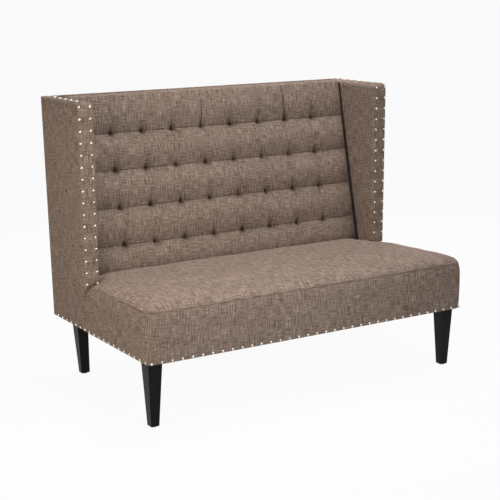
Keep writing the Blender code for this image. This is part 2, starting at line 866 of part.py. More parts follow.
def wing_cover(label, side):
    """Padded cover, hollow over the wing frame: front, top and both sides, tucked in beside the seat."""
    item = side_panel("wing_cover_" + label, side, body_underside, wing_inner_x, side_x, wing_front_y,
                      overall_height, cloth)

    def showing(start, end):
        """The front and top edges, in the outline's own coordinates: local X is Y, local Y is Z."""
        front = max(start.x, end.x) < wing_front_y + weld_distance and abs(start.y - end.y) > padding
        top = min(start.y, end.y) > overall_height - weld_distance
        rear = min(start.x, end.x) > wing_front_y + wing_thickness
        return front or (top and not rear)

    round_edges(item, showing, wing_edge_radius, cover_edge_segments)
    inner = wing_inner_x + padding
    outer = side_x - padding
    past_inner = wing_inner_x - cutter_overrun
    past_rear = rear_y + cutter_overrun
    past_low = body_underside - cutter_overrun

    def hollow(name, x_near, x_far, y_low, z_low, z_high):
        x_low, x_high = at_side(side, x_near, x_far)
        cut(item, block(name + "_" + label, (x_low, y_low, z_low), (x_high, past_rear, z_high), pine, cutters))

    hollow("wing_hollow", inner, outer, wing_front_y + padding, past_low, overall_height - padding)
    hollow("wing_foot_cut", past_inner, outer, wing_front_y - cutter_overrun, past_low, wing_tuck_z)
    behind_low = wing_tuck_z - cutter_overrun
    behind_high = overall_height - padding
    behind = [
        (frame_line(behind_low) - fit_gap, behind_low),
        (past_rear, behind_low),
        (past_rear, behind_high),
        (frame_line(behind_high) - fit_gap, behind_high),
    ]
    x_low, x_high = at_side(side, past_inner, inner + fit_gap)
    cut(item, side_outline("wing_rear_cut_" + label, behind, x_low, x_high, pine, cutters))


def wing(label, side):
    """The plywood frame, the foam outside it and the cover over both."""
    wing_frame(label, side)
    side_panel("wing_foam_" + label, side, rails_top + fit_gap, wing_frame_outer_x + fit_gap, rail_outer_x,
               wing_frame_front, wing_frame_top, foam)
    wing_cover(label, side)


def dust_cover():
    """Thin cloth under the seat, with holes for the four bolts."""
    low = body_underside + fit_gap
    inner_rear = rear_inside(rails_bottom) - dust_cover_inset
    item = block("dust_cover", (dust_cover_inset - rail_outer_x, front_rail_front + dust_cover_inset, low),
                 (rail_outer_x - dust_cover_inset, inner_rear, low + dust_cover_thickness), dust_cloth)
    for corner, (x, y) in leg_places.items():
        cut(item, round_cutter("dust_cover_hole_" + corner, (x, y, low), bolt_diameter + 2 * fit_gap,
                               cutter_overrun, fixing_sides))


seat_frame()
springs()
seat_cushion()
seat_border()
back_pad()
back_posts()
back_bars()
outside_back()
wing("left", -1)
wing("right", 1)
dust_cover()
for corner_name, (leg_x, leg_y) in leg_places.items():
    corner_block(corner_name, leg_x, leg_y)
    tee_nut(corner_name, leg_x, leg_y)
    hanger_bolt(corner_name, leg_x, leg_y)
    leg(corner_name, leg_x, leg_y)
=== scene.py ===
"""Upholstered wing settee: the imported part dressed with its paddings, covers, nails and finishes.

Metres, +Z up, front towards -Y, +X to the right. The origin is on the floor under the middle.
"""

import json
import math

import bmesh
import bpy
import numpy as np
from mathutils import Matrix, Vector

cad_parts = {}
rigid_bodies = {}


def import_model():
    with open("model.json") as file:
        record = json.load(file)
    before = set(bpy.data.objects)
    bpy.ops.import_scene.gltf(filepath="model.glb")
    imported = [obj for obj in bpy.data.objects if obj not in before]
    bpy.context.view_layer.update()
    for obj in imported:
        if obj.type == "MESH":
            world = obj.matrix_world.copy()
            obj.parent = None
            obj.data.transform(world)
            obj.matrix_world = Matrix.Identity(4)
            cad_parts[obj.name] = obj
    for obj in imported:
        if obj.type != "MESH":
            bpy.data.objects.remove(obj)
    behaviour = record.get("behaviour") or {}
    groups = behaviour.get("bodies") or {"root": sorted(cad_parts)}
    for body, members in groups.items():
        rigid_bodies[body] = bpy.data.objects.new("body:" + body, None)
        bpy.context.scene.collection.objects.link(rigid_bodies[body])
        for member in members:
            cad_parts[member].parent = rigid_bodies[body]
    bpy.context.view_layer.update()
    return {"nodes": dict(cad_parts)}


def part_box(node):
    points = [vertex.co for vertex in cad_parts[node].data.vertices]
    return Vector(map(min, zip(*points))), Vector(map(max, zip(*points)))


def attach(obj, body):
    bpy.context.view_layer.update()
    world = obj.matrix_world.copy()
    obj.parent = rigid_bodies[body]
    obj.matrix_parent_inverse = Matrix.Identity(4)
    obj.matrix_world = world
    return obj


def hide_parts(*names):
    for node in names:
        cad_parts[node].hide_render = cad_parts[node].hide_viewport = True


for leftover in list(bpy.data.objects):
    bpy.data.objects.remove(leftover)
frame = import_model()
parts = frame["nodes"]

# Rails and posts: sawn softwood, glued and screwed at the corners, with the grain along each piece.
# The seat frame runs round under the cushion; the raked back frame stands on it between the wings.


def node(finish, kind, inputs=None, settings=None):
    """One step of a finish: a shader node with its settings, values and links."""
    step = finish.node_tree.nodes.new("ShaderNode" + kind)
    for name, value in (settings or {}).items():
        setattr(step, name, value)
    for socket, value in (inputs or {}).items():
        if isinstance(value, bpy.types.NodeSocket):
            finish.node_tree.links.new(value, step.inputs[socket])
        else:
            step.inputs[socket].default_value = value
    return step.outputs


def maths(finish, operation, *shares):
    """Arithmetic on shares and numbers."""
    return node(finish, "Math", dict(enumerate(shares)), {"operation": operation})[0]


def new_finish(name, sewn=False, **shader_values):
    """An empty finish with what is the same all over, and the place on the piece, or on its cloth."""
    finish = bpy.data.materials.new(name)
    finish.use_nodes = True
    shader = finish.node_tree.nodes["Principled BSDF"]
    for socket, value in shader_values.items():
        shader.inputs[socket.replace("_", " ")].default_value = value
    if sewn:
        return finish, node(finish, "UVMap", settings={"uv_map": "cloth"})["UV"]
    return finish, node(finish, "TexCoord")["Object"]


def worn_noise(finish, place, stretch, detail=3.0, uneven=0.55, twist=0.0, flat=False):
    """Soft random variation with one wavelength, in metres, for all or for each axis of the place."""
    scale = [1 / length for length in np.broadcast_to(stretch, 3)]
    scaled = node(finish, "Mapping", {"Vector": place, "Scale": scale})[0]
    noise = {"Vector": scaled, "Scale": 1, "Detail": detail, "Roughness": uneven, "Distortion": twist}
    return node(finish, "TexNoise", noise, {"noise_dimensions": "2D" if flat else "3D"})["Fac"]


def tones(finish, share, *stops):
    """Colours picked along a share from 0 to 1."""
    ramp = node(finish, "ValToRGB", {"Fac": share})["Color"]
    elements = ramp.node.color_ramp.elements
    elements.remove(elements[1])
    for number, (where, colour) in enumerate(stops):
        stop = elements.new(where) if number else elements[0]
        stop.position = where
        stop.color = (*colour, 1)
    return ramp


def added(finish, *weighted):
    """Sum of several shares, each times its weight."""
    total = 0.0
    for share, weight in weighted:
        total = maths(finish, "MULTIPLY_ADD", share, weight, total)
    return total


def coated(finish, colour, rough, relief):
    """Ends a finish: its colour, roughness as (share, low, high) and relief as (height, depth)."""
    shader = finish.node_tree.nodes["Principled BSDF"]
    link = finish.node_tree.links.new
    link(colour, shader.inputs["Base Color"])
    if rough:
        share, low, high = rough
        link(node(finish, "MapRange", {"Value": share, "To Min": low, "To Max": high})[0],
             shader.inputs["Roughness"])
    height, depth = relief
    bumps = node(finish, "Bump", {"Height": height, "Strength": 1, "Distance": depth})[0]
    link(bumps, shader.inputs["Normal"])
    return finish


def sawn_pine(name, grain_axis):
    """Pine with its grain along one axis: growth rings and raised fine fibre."""
    finish, place = new_finish(name, IOR=1.45)
    rings_at, fibre_at = [0.01] * 3, [0.0016] * 3
    rings_at[grain_axis], fibre_at[grain_axis] = 0.3, 0.06
    bands = maths(finish, "PINGPONG", worn_noise(finish, place, rings_at, 2, twist=0.4), 0.09)
    fibre = worn_noise(finish, place, fibre_at, 2)
    figure = added(finish, (bands, 7.0), (fibre, 0.45))
    return coated(finish, tones(finish, figure, (0.15, (0.6, 0.4, 0.22)), (0.85, (0.4, 0.22, 0.1))),
                  (fibre, 0.55, 0.8), (fibre, 0.0003))


def grained(name, grains, weights, stops, rough, relief, **shader_values):
    """A finish of several grains over the piece: noises, or cells as (fineness, output, feature).

    Weights say how much each grain counts in the colour. Rough is (grain, low, high) and relief is
    (grain, depth in metres), with grain -1 for all of them together.
    """
    finish, place = new_finish(name, **shader_values)
    shares = []
    for grain in grains:
        if isinstance(grain[-1], str):
            fineness, output, feature = grain
            cells = node(finish, "TexVoronoi", {"Vector": place, "Scale": fineness}, {"feature": feature})
            shares.append(cells[output])
        else:
            shares.append(worn_noise(finish, place, *grain))
    shares.append(added(finish, *zip(shares, weights)))
    return coated(finish, tones(finish, shares[-1], *stops), rough and (shares[rough[0]], *rough[1:]),
                  (shares[relief[0]], relief[1]))


def coat_with(finish, *names):
    """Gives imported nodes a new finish."""
    for name in names:
        parts[name].data.materials.clear()
        parts[name].data.materials.append(finish)


coat_with(sawn_pine("pine_across", 0), "front_rail", "rear_rail", "spring_rail", "back_top_rail",
          "back_bottom_rail")
coat_with(sawn_pine("pine_deep", 1), "side_rail_left", "side_rail_right", "centre_rail")
coat_with(sawn_pine("pine_upright", 2), "back_post_left", "back_post_right", "back_centre_post")

# Corner blocks and wing panels: birch plywood, sawn from the sheet and glued inside the rails.
# Its pale and dark plies show on the sawn edges and inside the wings' lightening holes.

corners = ("front_left", "front_right", "rear_left", "rear_right")


def wave(finish, along, repeat):
    """An even wave along a place, once a repeat."""
    return maths(finish, "SINE", maths(finish, "MULTIPLY", along, 2 * math.pi / repeat))


def plywood(name, through_axis):
    """Birch plywood whose plies are stacked along one axis."""
    ply = 0.0024
    finish, place = new_finish(name, IOR=1.45)
    plies = wave(finish, node(finish, "SeparateXYZ", {0: place})[through_axis], 2 * ply)
    veneer_at = (0.09, 0.004, 0.004) if through_axis == 2 else (0.004, 0.004, 0.09)
    veneer = worn_noise(finish, place, veneer_at, twist=0.6)
    share = added(finish, (plies, 0.1), (veneer, 0.9), (0.08, 1.0))
    return coated(finish, tones(finish, share, (0.3, (0.62, 0.45, 0.28)), (0.72, (0.4, 0.25, 0.13))),
                  (veneer, 0.5, 0.75), (share, 0.0002))


coat_with(plywood("plywood_flat", 2), *["corner_block_" + corner for corner in corners])
coat_with(plywood("plywood_upright", 0), "wing_frame_left", "wing_frame_right")

# Seat springs: hard-drawn sinuous wire, hooked into pressed clip rails on the front and spring rails.
# The wire keeps its oily grey-brown skin; clips, leg bolts and tee nuts are zinc plated.
drawn_wire = grained("drawn_spring_wire", [((0.03, 0.03, 0.0012),), (0.02, 4)], (0.4, 0.6),
                     [(0.35, (0.1, 0.085, 0.07)), (0.65, (0.27, 0.25, 0.23))], (1, 0.35, 0.6), (0, 0.0001),
                     Metallic=1.0)
zinc_plate = grained("zinc_plate", [(320, "Color", "F1"), ((0.006, 0.002, 0.006), 4)], (0.35, 0.65),
                     [(0.3, (0.45, 0.46, 0.47)), (0.7, (0.66, 0.67, 0.68))], (1, 0.25, 0.5), (1, 0.00008),
                     Metallic=1.0)
coat_with(drawn_wire, *["seat_spring_" + str(number) for number in range(1, 9)])
coat_with(zinc_plate, "clip_rail_front", "clip_rail_rear",
          *[fixing + corner for fixing in ("hanger_bolt_", "tee_nut_") for corner in corners])

# Insulator: a needled grey felt pad laid over the springs, under the foam, and stapled to the rails.
# It keeps the spring wire from cutting into the cushion.


def in_finish(mesh, bm, finish, smooth=True):
    """Closes the work on a mesh and puts its piece, in its finish, into the scene."""
    bm.to_mesh(mesh)
    bm.free()
    mesh.polygons.foreach_set("use_smooth", [smooth] * len(mesh.polygons))
    mesh.materials.append(finish)
    piece = bpy.data.objects.new(mesh.name, mesh)
    bpy.context.scene.collection.objects.link(piece)
    return piece


def made_up(name, layers, finish, weld=0.00002):
    """One piece from sheets of points; each layer is (places, cloth places, kept faces or None, flipped).

    Places have rows by columns by 3 numbers. Cloth places are metres along the weft and the warp, and
    a third number there is painted shade, how far the colour is darkened, from 0 to 1.
    """
    places, cloth_places, painted_shades, faces = [], [], [], []
    for layer, cloth_layer, kept, flipped in layers:
        rows, columns = layer.shape[:2]
        corner = len(places) + np.arange(rows - 1)[:, None] * columns + np.arange(columns - 1)
        quads = np.stack([corner, corner + 1, corner + columns + 1, corner + columns], -1)
        quads = quads[... if kept is None else kept].reshape(-1, 4)
        faces += quads[:, ::-1 if flipped else 1].tolist()
        places += layer.reshape(-1, 3).tolist()
        cloth_places += cloth_layer[..., :2].reshape(-1, 2).tolist()
        has_painted_shade = cloth_layer.shape[-1] > 2
        painted_shades += cloth_layer[..., 2].ravel().tolist() if has_painted_shade else [0.0] * (rows * columns)
    mesh = bpy.data.meshes.new(name)
    mesh.from_pydata(places, [], faces)
    mesh.attributes.new("painted_shade", "FLOAT", "POINT").data.foreach_set("value", painted_shades)
    cloth_map = mesh.uv_layers.new(name="cloth")
    corners_at = np.empty(len(mesh.loops), int)
    mesh.loops.foreach_get("vertex_index", corners_at)
    cloth_map.data.foreach_set("uv", np.array(cloth_places)[corners_at].ravel())
    bm = bmesh.new()
    bm.from_mesh(mesh)
    bmesh.ops.remove_doubles(bm, verts=bm.verts, dist=weld)
    loose = [vertex for vertex in bm.verts if not vertex.link_faces]
    bmesh.ops.delete(bm, geom=loose, context="VERTS")
    return in_finish(mesh, bm, finish)


def fitted(piece, slot, *stands_for, fill=None, **sheet):
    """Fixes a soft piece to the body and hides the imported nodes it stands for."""
    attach(piece, "root")
    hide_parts(*stands_for)


def unit(share):
    """A share, kept from 0 to 1."""
    return np.clip(share, 0, 1)


def quarter_round(share):
    """Height of a quarter round across its width, both from 0 to 1."""
    return np.sqrt(1 - (1 - unit(share)) ** 2)


def crowded(start, end, count, crowding):
    """Places from start to end, closer together towards both ends where crowding is over 1."""
    share = np.linspace(0, 1, count)
    half = 0.5 * (2 * np.minimum(share, 1 - share)) ** crowding
    return start + (end - start) * np.where(share < 0.5, half, 1 - half)


def two_faced(name, across, middle, half, u, v, finish, weld=0.00001):
    """A board, pad or strap: a face to each side of its middle. Across is its thin axis."""
    layers = []
    for side in (1, -1):
        places = [u, v]
        places.insert(across, middle + side * half)
        layers.append((np.stack(places, -1), np.stack([u, v], -1), None, (side < 0) != (across == 1)))
    return made_up(name, layers, finish, weld)


def slab(name, low, high, edge, finish, across, wander, steps):
    """A pad cut from sheet stock, with rolled edges and a little wander in its faces."""
    wide, deep = [axis for axis in range(3) if axis != across]
    u, v = np.meshgrid(crowded(low[wide], high[wide], steps[0], 1.6),
                       crowded(low[deep], high[deep], steps[1], 1.6))
    from_edge = np.minimum.reduce([u - low[wide], high[wide] - u, v - low[deep], high[deep] - v])
    half = (high[across] - low[across]) / 2
    waves = wander * np.sin(u * 37 + np.sin(v * 23) * 2) * np.sin(v * 41) * unit(from_edge / edge)
    thick = half * quarter_round(from_edge / edge) - np.abs(waves)
    return two_faced(name, across, low[across] + half, thick, u, v, finish)


waste_felt = grained("grey_waste_felt", [((0.003, 0.0008, 0.003), 5, 0.7, 2.5), (0.02, 2)], (0.7, 0.3),
                     [(0.34, (0.07, 0.07, 0.08)), (0.5, (0.16, 0.16, 0.165)), (0.66, (0.25, 0.25, 0.25))],
                     None, (-1, 0.0012), Roughness=0.98, Sheen_Weight=0.2, Sheen_Roughness=0.6)
felt_low, felt_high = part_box("insulator_pad")
fitted(slab("insulator_felt", felt_low, felt_high, 0.0015, waste_felt, 2, 0.0003, (60, 30)), "grey_felt",
       "insulator_pad", flat=(felt_high.x - felt_low.x, felt_high.y - felt_low.y), held="laid",
       rests_on=["spring_rail", "front_rail"])

# Seat: one tight T-shaped foam cushion under linen, sewn to the border at a seam that runs round the
# front and the sides. The cover rises in a quick roll from the seam and falls again to the back.


def linen(name, slot=None):
    """Heathered plain weave of uneven brown, taupe and pale threads, with slubs both ways.

    The slot, where given, is (how far back, rake, height) of the line behind which the wing's inner face
    gets painted shade, as dark as the gap beside the back pad.
    """
    finish, cloth = new_finish(name, True, Roughness=0.92, Sheen_Weight=0.03, Sheen_Roughness=0.5,
                               Specular_IOR_Level=0.12)
    warp, weft, fine_warp, fine_weft, heather, shading = [
        worn_noise(finish, cloth, (weft_length, warp_length, 1), detail, uneven, flat=True)
        for weft_length, warp_length, detail, uneven in (
            (0.0023, 0.04, 1, 0.55), (0.036, 0.0023, 1, 0.55), (0.0016, 0.06, 1, 0.5),
            (0.06, 0.0016, 1, 0.5), (0.0026, 0.0026, 2, 0.6), (0.16, 0.12, 2, 0.55))]
    thread = 0.00115
    ups = node(finish, "SeparateXYZ", {0: cloth})
    weave = maths(finish, "MULTIPLY", wave(finish, ups[0], thread), wave(finish, ups[1], thread))
    share = added(finish, (warp, 0.37), (weft, 0.31), (fine_warp, 0.11), (fine_weft, 0.1),
                  (heather, 0.04), (shading, 0.04), (weave, 0.03))
    threads = tones(finish, share, (0.375, (0.15, 0.103, 0.078)), (0.455, (0.262, 0.188, 0.146)),
                    (0.515, (0.33, 0.243, 0.191)), (0.63, (0.535, 0.413, 0.332)))
    # Painted shade: each point's share in the mesh darkens the threads towards deep brown, in creases, tufts,
    # seams, tucks and corners.
    deep = node(finish, "Attribute", settings={"attribute_name": "painted_shade"})["Fac"]
    # Painted shade on the wing cloth behind the back pad's line, standing in for the shadow in the gap.
    if slot:
        back, rake, height = slot
        inner_face_x, tuck = 0.5925, 0.004
        along = node(finish, "SeparateXYZ", {0: node(finish, "TexCoord")["Object"]})
        line = maths(finish, "MULTIPLY_ADD", along[2], -rake, rake * height - back)
        tucked = node(finish, "MapRange", {"Value": maths(finish, "ADD", along[1], line), "From Min": 0.0,
                                           "From Max": tuck, "To Min": 0.0, "To Max": 0.95})[0]
        inner_face = maths(finish, "LESS_THAN", maths(finish, "ABSOLUTE", along[0]), inner_face_x)
        deep = maths(finish, "MAXIMUM", maths(finish, "MULTIPLY", tucked, inner_face), deep)
    shaded = node(finish, "Mix", {"Factor": deep, 6: threads, 7: (0.05, 0.034, 0.028, 1)},
                  {"data_type": "RGBA"})[2]
    relief = added(finish, (weave, 0.22), (warp, 0.9), (weft, 0.9), (heather, 0.5))
    return coated(finish, shaded, None, (relief, 0.0009))


taupe_linen = linen("taupe_linen")
(_, front_y, seat_bottom_z), (_, seat_rear_y, _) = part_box("seat_cushion")
underside_z, seam_z = [corner.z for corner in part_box("seat_border_front")]
wing_front_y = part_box("wing_cover_left")[0].y
wing_inner_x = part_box("wing_cover_right")[0].x
seat_half = 0.6465
sewn_z = seam_z + 0.0022


def eased(share):
    """A share from 0 to 1 that starts and ends gently."""
    return unit(share) ** 2 * (3 - 2 * unit(share))


def bell(away, width):
    """1 at no distance away, fading on both sides over the width."""
    return np.exp(-(away / width) ** 2)


def fade(away, length):
    """1 at no distance away, falling off over the length."""
    return np.exp(-away / length)


def distance_run(steps):
    """How far along a line each of its points lies, from the steps between them."""
    return np.concatenate([[0], np.cumsum(steps)])


def side_seam_z(y):
    """Height of the sewn seam: level round the front, curving down behind the wing's foot."""
    past = np.clip((y - 0.058) / 0.028, 0, 0.999)
    return sewn_z - 0.015 * eased((y + 0.04) / 0.11) - 0.036 * (1 - np.sqrt(1 - past ** 2))


def shoulder(y):
    """How far the cover is drawn into one soft shoulder beside the wing's foot, from 0 to 1."""
    return eased((y + 0.13) / 0.195)


def seat_crown(x, y):
    """Height of the seat's cover over its seam."""
    from_side = np.maximum(seat_half - np.abs(x), 1e-5)
    from_front = np.maximum(y - front_y, 1e-5)
    fall = 1 - 0.7 * unit(from_front / (seat_rear_y - front_y)) ** 1.5
    from_seam = from_side * from_front / (from_side ** 4 + from_front ** 4) ** 0.25
    rise = 0.017 * (1 - fade(from_seam, 0.012)) + 0.028 * (1 - fade(from_seam, 0.06))
    swells = 0.0007 * np.sin(x * 19 + 1.3) * np.sin(y * 27 + 0.6) + 0.0005 * np.sin(x * 43 + y * 31)
    return 0.0032 + rise * fall + swells * (1 - fade(from_seam, 0.04))


def seat_cover():
    """Top of the T, its rolled edge at the seam, and the hidden sides and bottom of the foam."""
    notch = wing_inner_x - 0.0008
    ear_rear = wing_front_y - 0.0006
    edge_xs = np.array([0, 0.001, 0.0025, 0.005, 0.009, 0.014, 0.02, 0.028, 0.037, 0.047])
    edge_ys = np.array([0, 0.001, 0.0025, 0.005, 0.009, 0.014, 0.021, 0.029, 0.038, 0.048])
    ear_ys = np.array([0.042, 0.03, 0.021, 0.014, 0.009, 0.0055, 0.003, 0.0012, 0.0])
    xs = np.concatenate([edge_xs - seat_half, np.array([0, 0.0015, 0.004, 0.008]) - notch,
                         np.linspace(-0.575, 0, 66)])
    xs = np.concatenate([xs, -xs[:-1][::-1]])
    ys = np.concatenate([front_y + edge_ys, np.linspace(front_y + 0.058, 0.024, 38), ear_rear - ear_ys,
                         np.linspace(ear_rear + 0.006, seat_rear_y + 0.002, 11)])
    x, y = np.meshgrid(xs, ys)
    z = seam_z + seat_crown(x, y)
    near_wing = unit((y + 0.05) / (ear_rear + 0.05)) ** 1.5
    z -= near_wing * (0.0155 * eased((np.abs(x) - 0.545) / 0.065) + 0.09 * unit(np.abs(x) - 0.607))
    at_foot = unit((np.abs(x) - notch + 0.012) / 0.01) * fade(np.abs(ear_rear - y), 0.0045)
    from_wing = np.abs(np.abs(x) - notch)
    beside = unit((y - ear_rear) / 0.03)
    # Painted shade at the wing's foot and in the tuck beside each wing.
    deep = 0.75 * np.maximum(at_foot, fade(from_wing, 0.009) * beside) ** 1.5
    z -= 0.0055 * at_foot + beside * (0.01 * fade(from_wing, 0.012) + 0.0085 * fade(from_wing, 0.045))
    inset = (0.0026 + 0.0085 * shoulder(y)) * unit((np.abs(x) - 0.58) / (seat_half - 0.58)) ** 2
    x, y = x - np.sign(x) * inset, y + 0.0026 * unit(1 - (y - front_y) / 0.05) ** 2
    corner = 0.021
    over_x, over_y = np.abs(x) - (seat_half - corner), (front_y + corner) - y
    inside = (over_x > 0) & (over_y > 0)
    pull = np.maximum(over_x, over_y) / np.maximum(np.hypot(over_x, over_y), 1e-9)
    places = np.stack([np.where(inside, np.sign(x) * (seat_half - corner + over_x * pull), x),
                       np.where(inside, front_y + corner - over_y * pull, y), z], -1)
    u, v = np.meshgrid(distance_run(np.hypot(np.diff(xs), np.diff(seat_crown(xs, -0.15)))),
                       distance_run(np.hypot(np.diff(ys), np.diff(seat_crown(0, ys)))))
    kept = ~((np.abs(x[:-1, :-1] + x[1:, 1:]) / 2 > notch) & ((y[:-1, :-1] + y[1:, 1:]) / 2 > ear_rear))
    piece = made_up("seat_cushion_cover", [(places, np.stack([u, v, deep], -1), kept, False)], taupe_linen)
    bm = bmesh.new()
    bm.from_mesh(piece.data)
    cloth_map = bm.loops.layers.uv["cloth"]
    shade_layer = bm.verts.layers.float["painted_shade"]
    cut_out = len(bm.verts)

    def to_seam(vertex):
        at_rear = vertex.co.y > ear_rear + 0.001 or (abs(vertex.co.x) < notch - 0.001 and vertex.co.y > 0)
        low = float(side_seam_z(vertex.co.y) - 0.0022 * shoulder(vertex.co.y)) + 0.0002
        vertex.co.z = vertex.co.z - 0.004 if at_rear else min(vertex.co.z - 0.0008, low)
        # Painted shade on the edge turned in under the roll, less beside the wings.
        vertex[shade_layer] = 0.35 * (1 - 0.75 * float(shoulder(vertex.co.y)))

    def into_groove(vertex):
        vertex.co.x *= 1 - 0.0055 if abs(vertex.co.x) > notch else 1
        vertex.co.y = max(vertex.co.y, front_y + 0.0062)
        vertex.co.z -= 0.001
        # Painted shade in the groove at the seam.
        vertex[shade_layer] = 0.9

    def to_bottom(vertex):
        vertex.co.x = max(-0.639, min(0.639, vertex.co.x))
        vertex.co.y = max(vertex.co.y, front_y + 0.0108)
        vertex.co.z = seat_bottom_z

    for turned_in in (to_seam, into_groove, to_bottom):
        open_edges = [edge for edge in bm.edges if edge.is_boundary]
        for grown in bmesh.ops.extrude_edge_only(bm, edges=open_edges)["geom"]:
            if isinstance(grown, bmesh.types.BMVert):
                turned_in(grown)
    bmesh.ops.edgeloop_fill(bm, edges=[edge for edge in bm.edges if edge.is_boundary])
    bmesh.ops.recalc_face_normals(bm, faces=bm.faces)
    bm.verts.index_update()
    # Edges and faces go in the order of their points, which is the same in each run.
    for items in (bm.edges, bm.faces):
        ends = {item: sorted(vertex.index for vertex in item.verts) for item in items}
        items.sort(key=lambda item: ends[item][0] * len(bm.verts) + ends[item][-1])
    for face in bm.faces:
        face.smooth = True
        for loop in face.loops:
            if not 0 <= loop.vert.index < cut_out:
                at = loop.vert.co
                loop[cloth_map].uv = (at.x + seat_half, at.y - front_y + (at.z - seam_z))
    bm.to_mesh(piece.data)
    bm.free()
    return piece


def points_of(mesh):
    """Places of a mesh's points."""
    places = np.empty(len(mesh.vertices) * 3)
    mesh.vertices.foreach_get("co", places)
    return places.reshape(-1, 3)


def settled(piece, hold, push, most, slack, frames=12):
    """Lets a cover settle as cloth over the push of its foam, and keeps the result as its mesh.

    Hold gives, for each point, how firmly it is sewn down, from 0 to 1. No point moves further than most.
    """
    mesh = piece.data
    before = points_of(mesh)
    sewn = piece.vertex_groups.new(name="sewn_down")
    for index, firm in enumerate(hold(*before.T)):
        if firm > 0:
            sewn.add([index], float(firm), "REPLACE")
    cloth = piece.modifiers.new("settling", "CLOTH")
    how = {"quality": 4, "mass": 0.3, "tension_stiffness": 18, "compression_stiffness": 18,
           "shear_stiffness": 6, "bending_stiffness": 0.4, "vertex_group_mass": sewn.name,
           "shrink_min": -slack, "use_pressure": True, "uniform_pressure_force": push}
    for name, value in how.items():
        setattr(cloth.settings, name, value)
    cloth.settings.effector_weights.gravity = 0
    cloth.collision_settings.use_collision = False
    cloth.point_cache.frame_end = frames
    for frame_number in range(1, frames + 1):
        bpy.context.scene.frame_set(frame_number)
    moved = points_of(piece.evaluated_get(bpy.context.evaluated_depsgraph_get()).data) - before
    far = np.maximum(np.linalg.norm(moved, axis=1), 1e-9)
    moved *= (most * np.tanh(far / most) / far)[:, None]
    piece.modifiers.remove(cloth)
    piece.vertex_groups.remove(sewn)
    mesh.vertices.foreach_set("co", (before + moved).ravel())
    mesh.update()
    bpy.context.scene.frame_set(1)


def seat_hold(x, y, z):
    """The seat cover is sewn down at its seams and tucked in at the wings and under the back pad."""
    beside = np.where(y > wing_front_y - 0.002, wing_inner_x - np.abs(x), 1.0)
    from_edge = np.minimum(seat_half - np.abs(x), y - front_y) - 0.002
    from_edge = np.minimum.reduce([from_edge, beside, seat_rear_y - y])
    return np.where(z < sewn_z + 0.0005, 1.0, unit(1 - from_edge / 0.02))


seat = seat_cover()
settled(seat, seat_hold, push=2.0, most=0.0028, slack=0.0015)
fitted(seat, "cover_fabric", "seat_cushion", fill=0.95)

# Seat border: a strip of linen over thin foam, sewn to the seat cover above and tacked under the rails.
# It turns the two front corners in one piece, and its ends are turned in beside the wings.


def plan_line(half_x, start_y, rear_y, radius, spacing):
    """Points and outward directions from the left end round both front corners to the right end."""
    side_ys = [*(rear_y - np.array([0, 0.0008, 0.0018, 0.0032])),
               *np.linspace(rear_y - 0.006, start_y + radius, int((rear_y - start_y) / spacing))]
    left = [((-half_x, y), (-1.0, 0.0)) for y in side_ys]
    for turn in np.linspace(0, math.pi / 2, 7)[1:-1]:
        out_x, out_y = -math.cos(turn), -math.sin(turn)
        left.append(((-half_x + radius + radius * out_x, start_y + radius + radius * out_y), (out_x, out_y)))
    front = [((x, start_y), (0.0, -1.0))
             for x in np.linspace(-half_x + radius, half_x - radius, int(2 * half_x / spacing))]
    right = [((-x, y), (-out_x, out_y)) for (x, y), (out_x, out_y) in left[::-1]]
    line = np.array(left + front + right)
    return line[:, 0], line[:, 1]


front_nail_xs = [-0.635 + number * 0.03753 for number in range(35)]
side_nail_ys = [front_y + 0.023 + number * 0.0385 for number in range(19)]
bottom_nail_z = 0.2285
border_end_y = 0.08


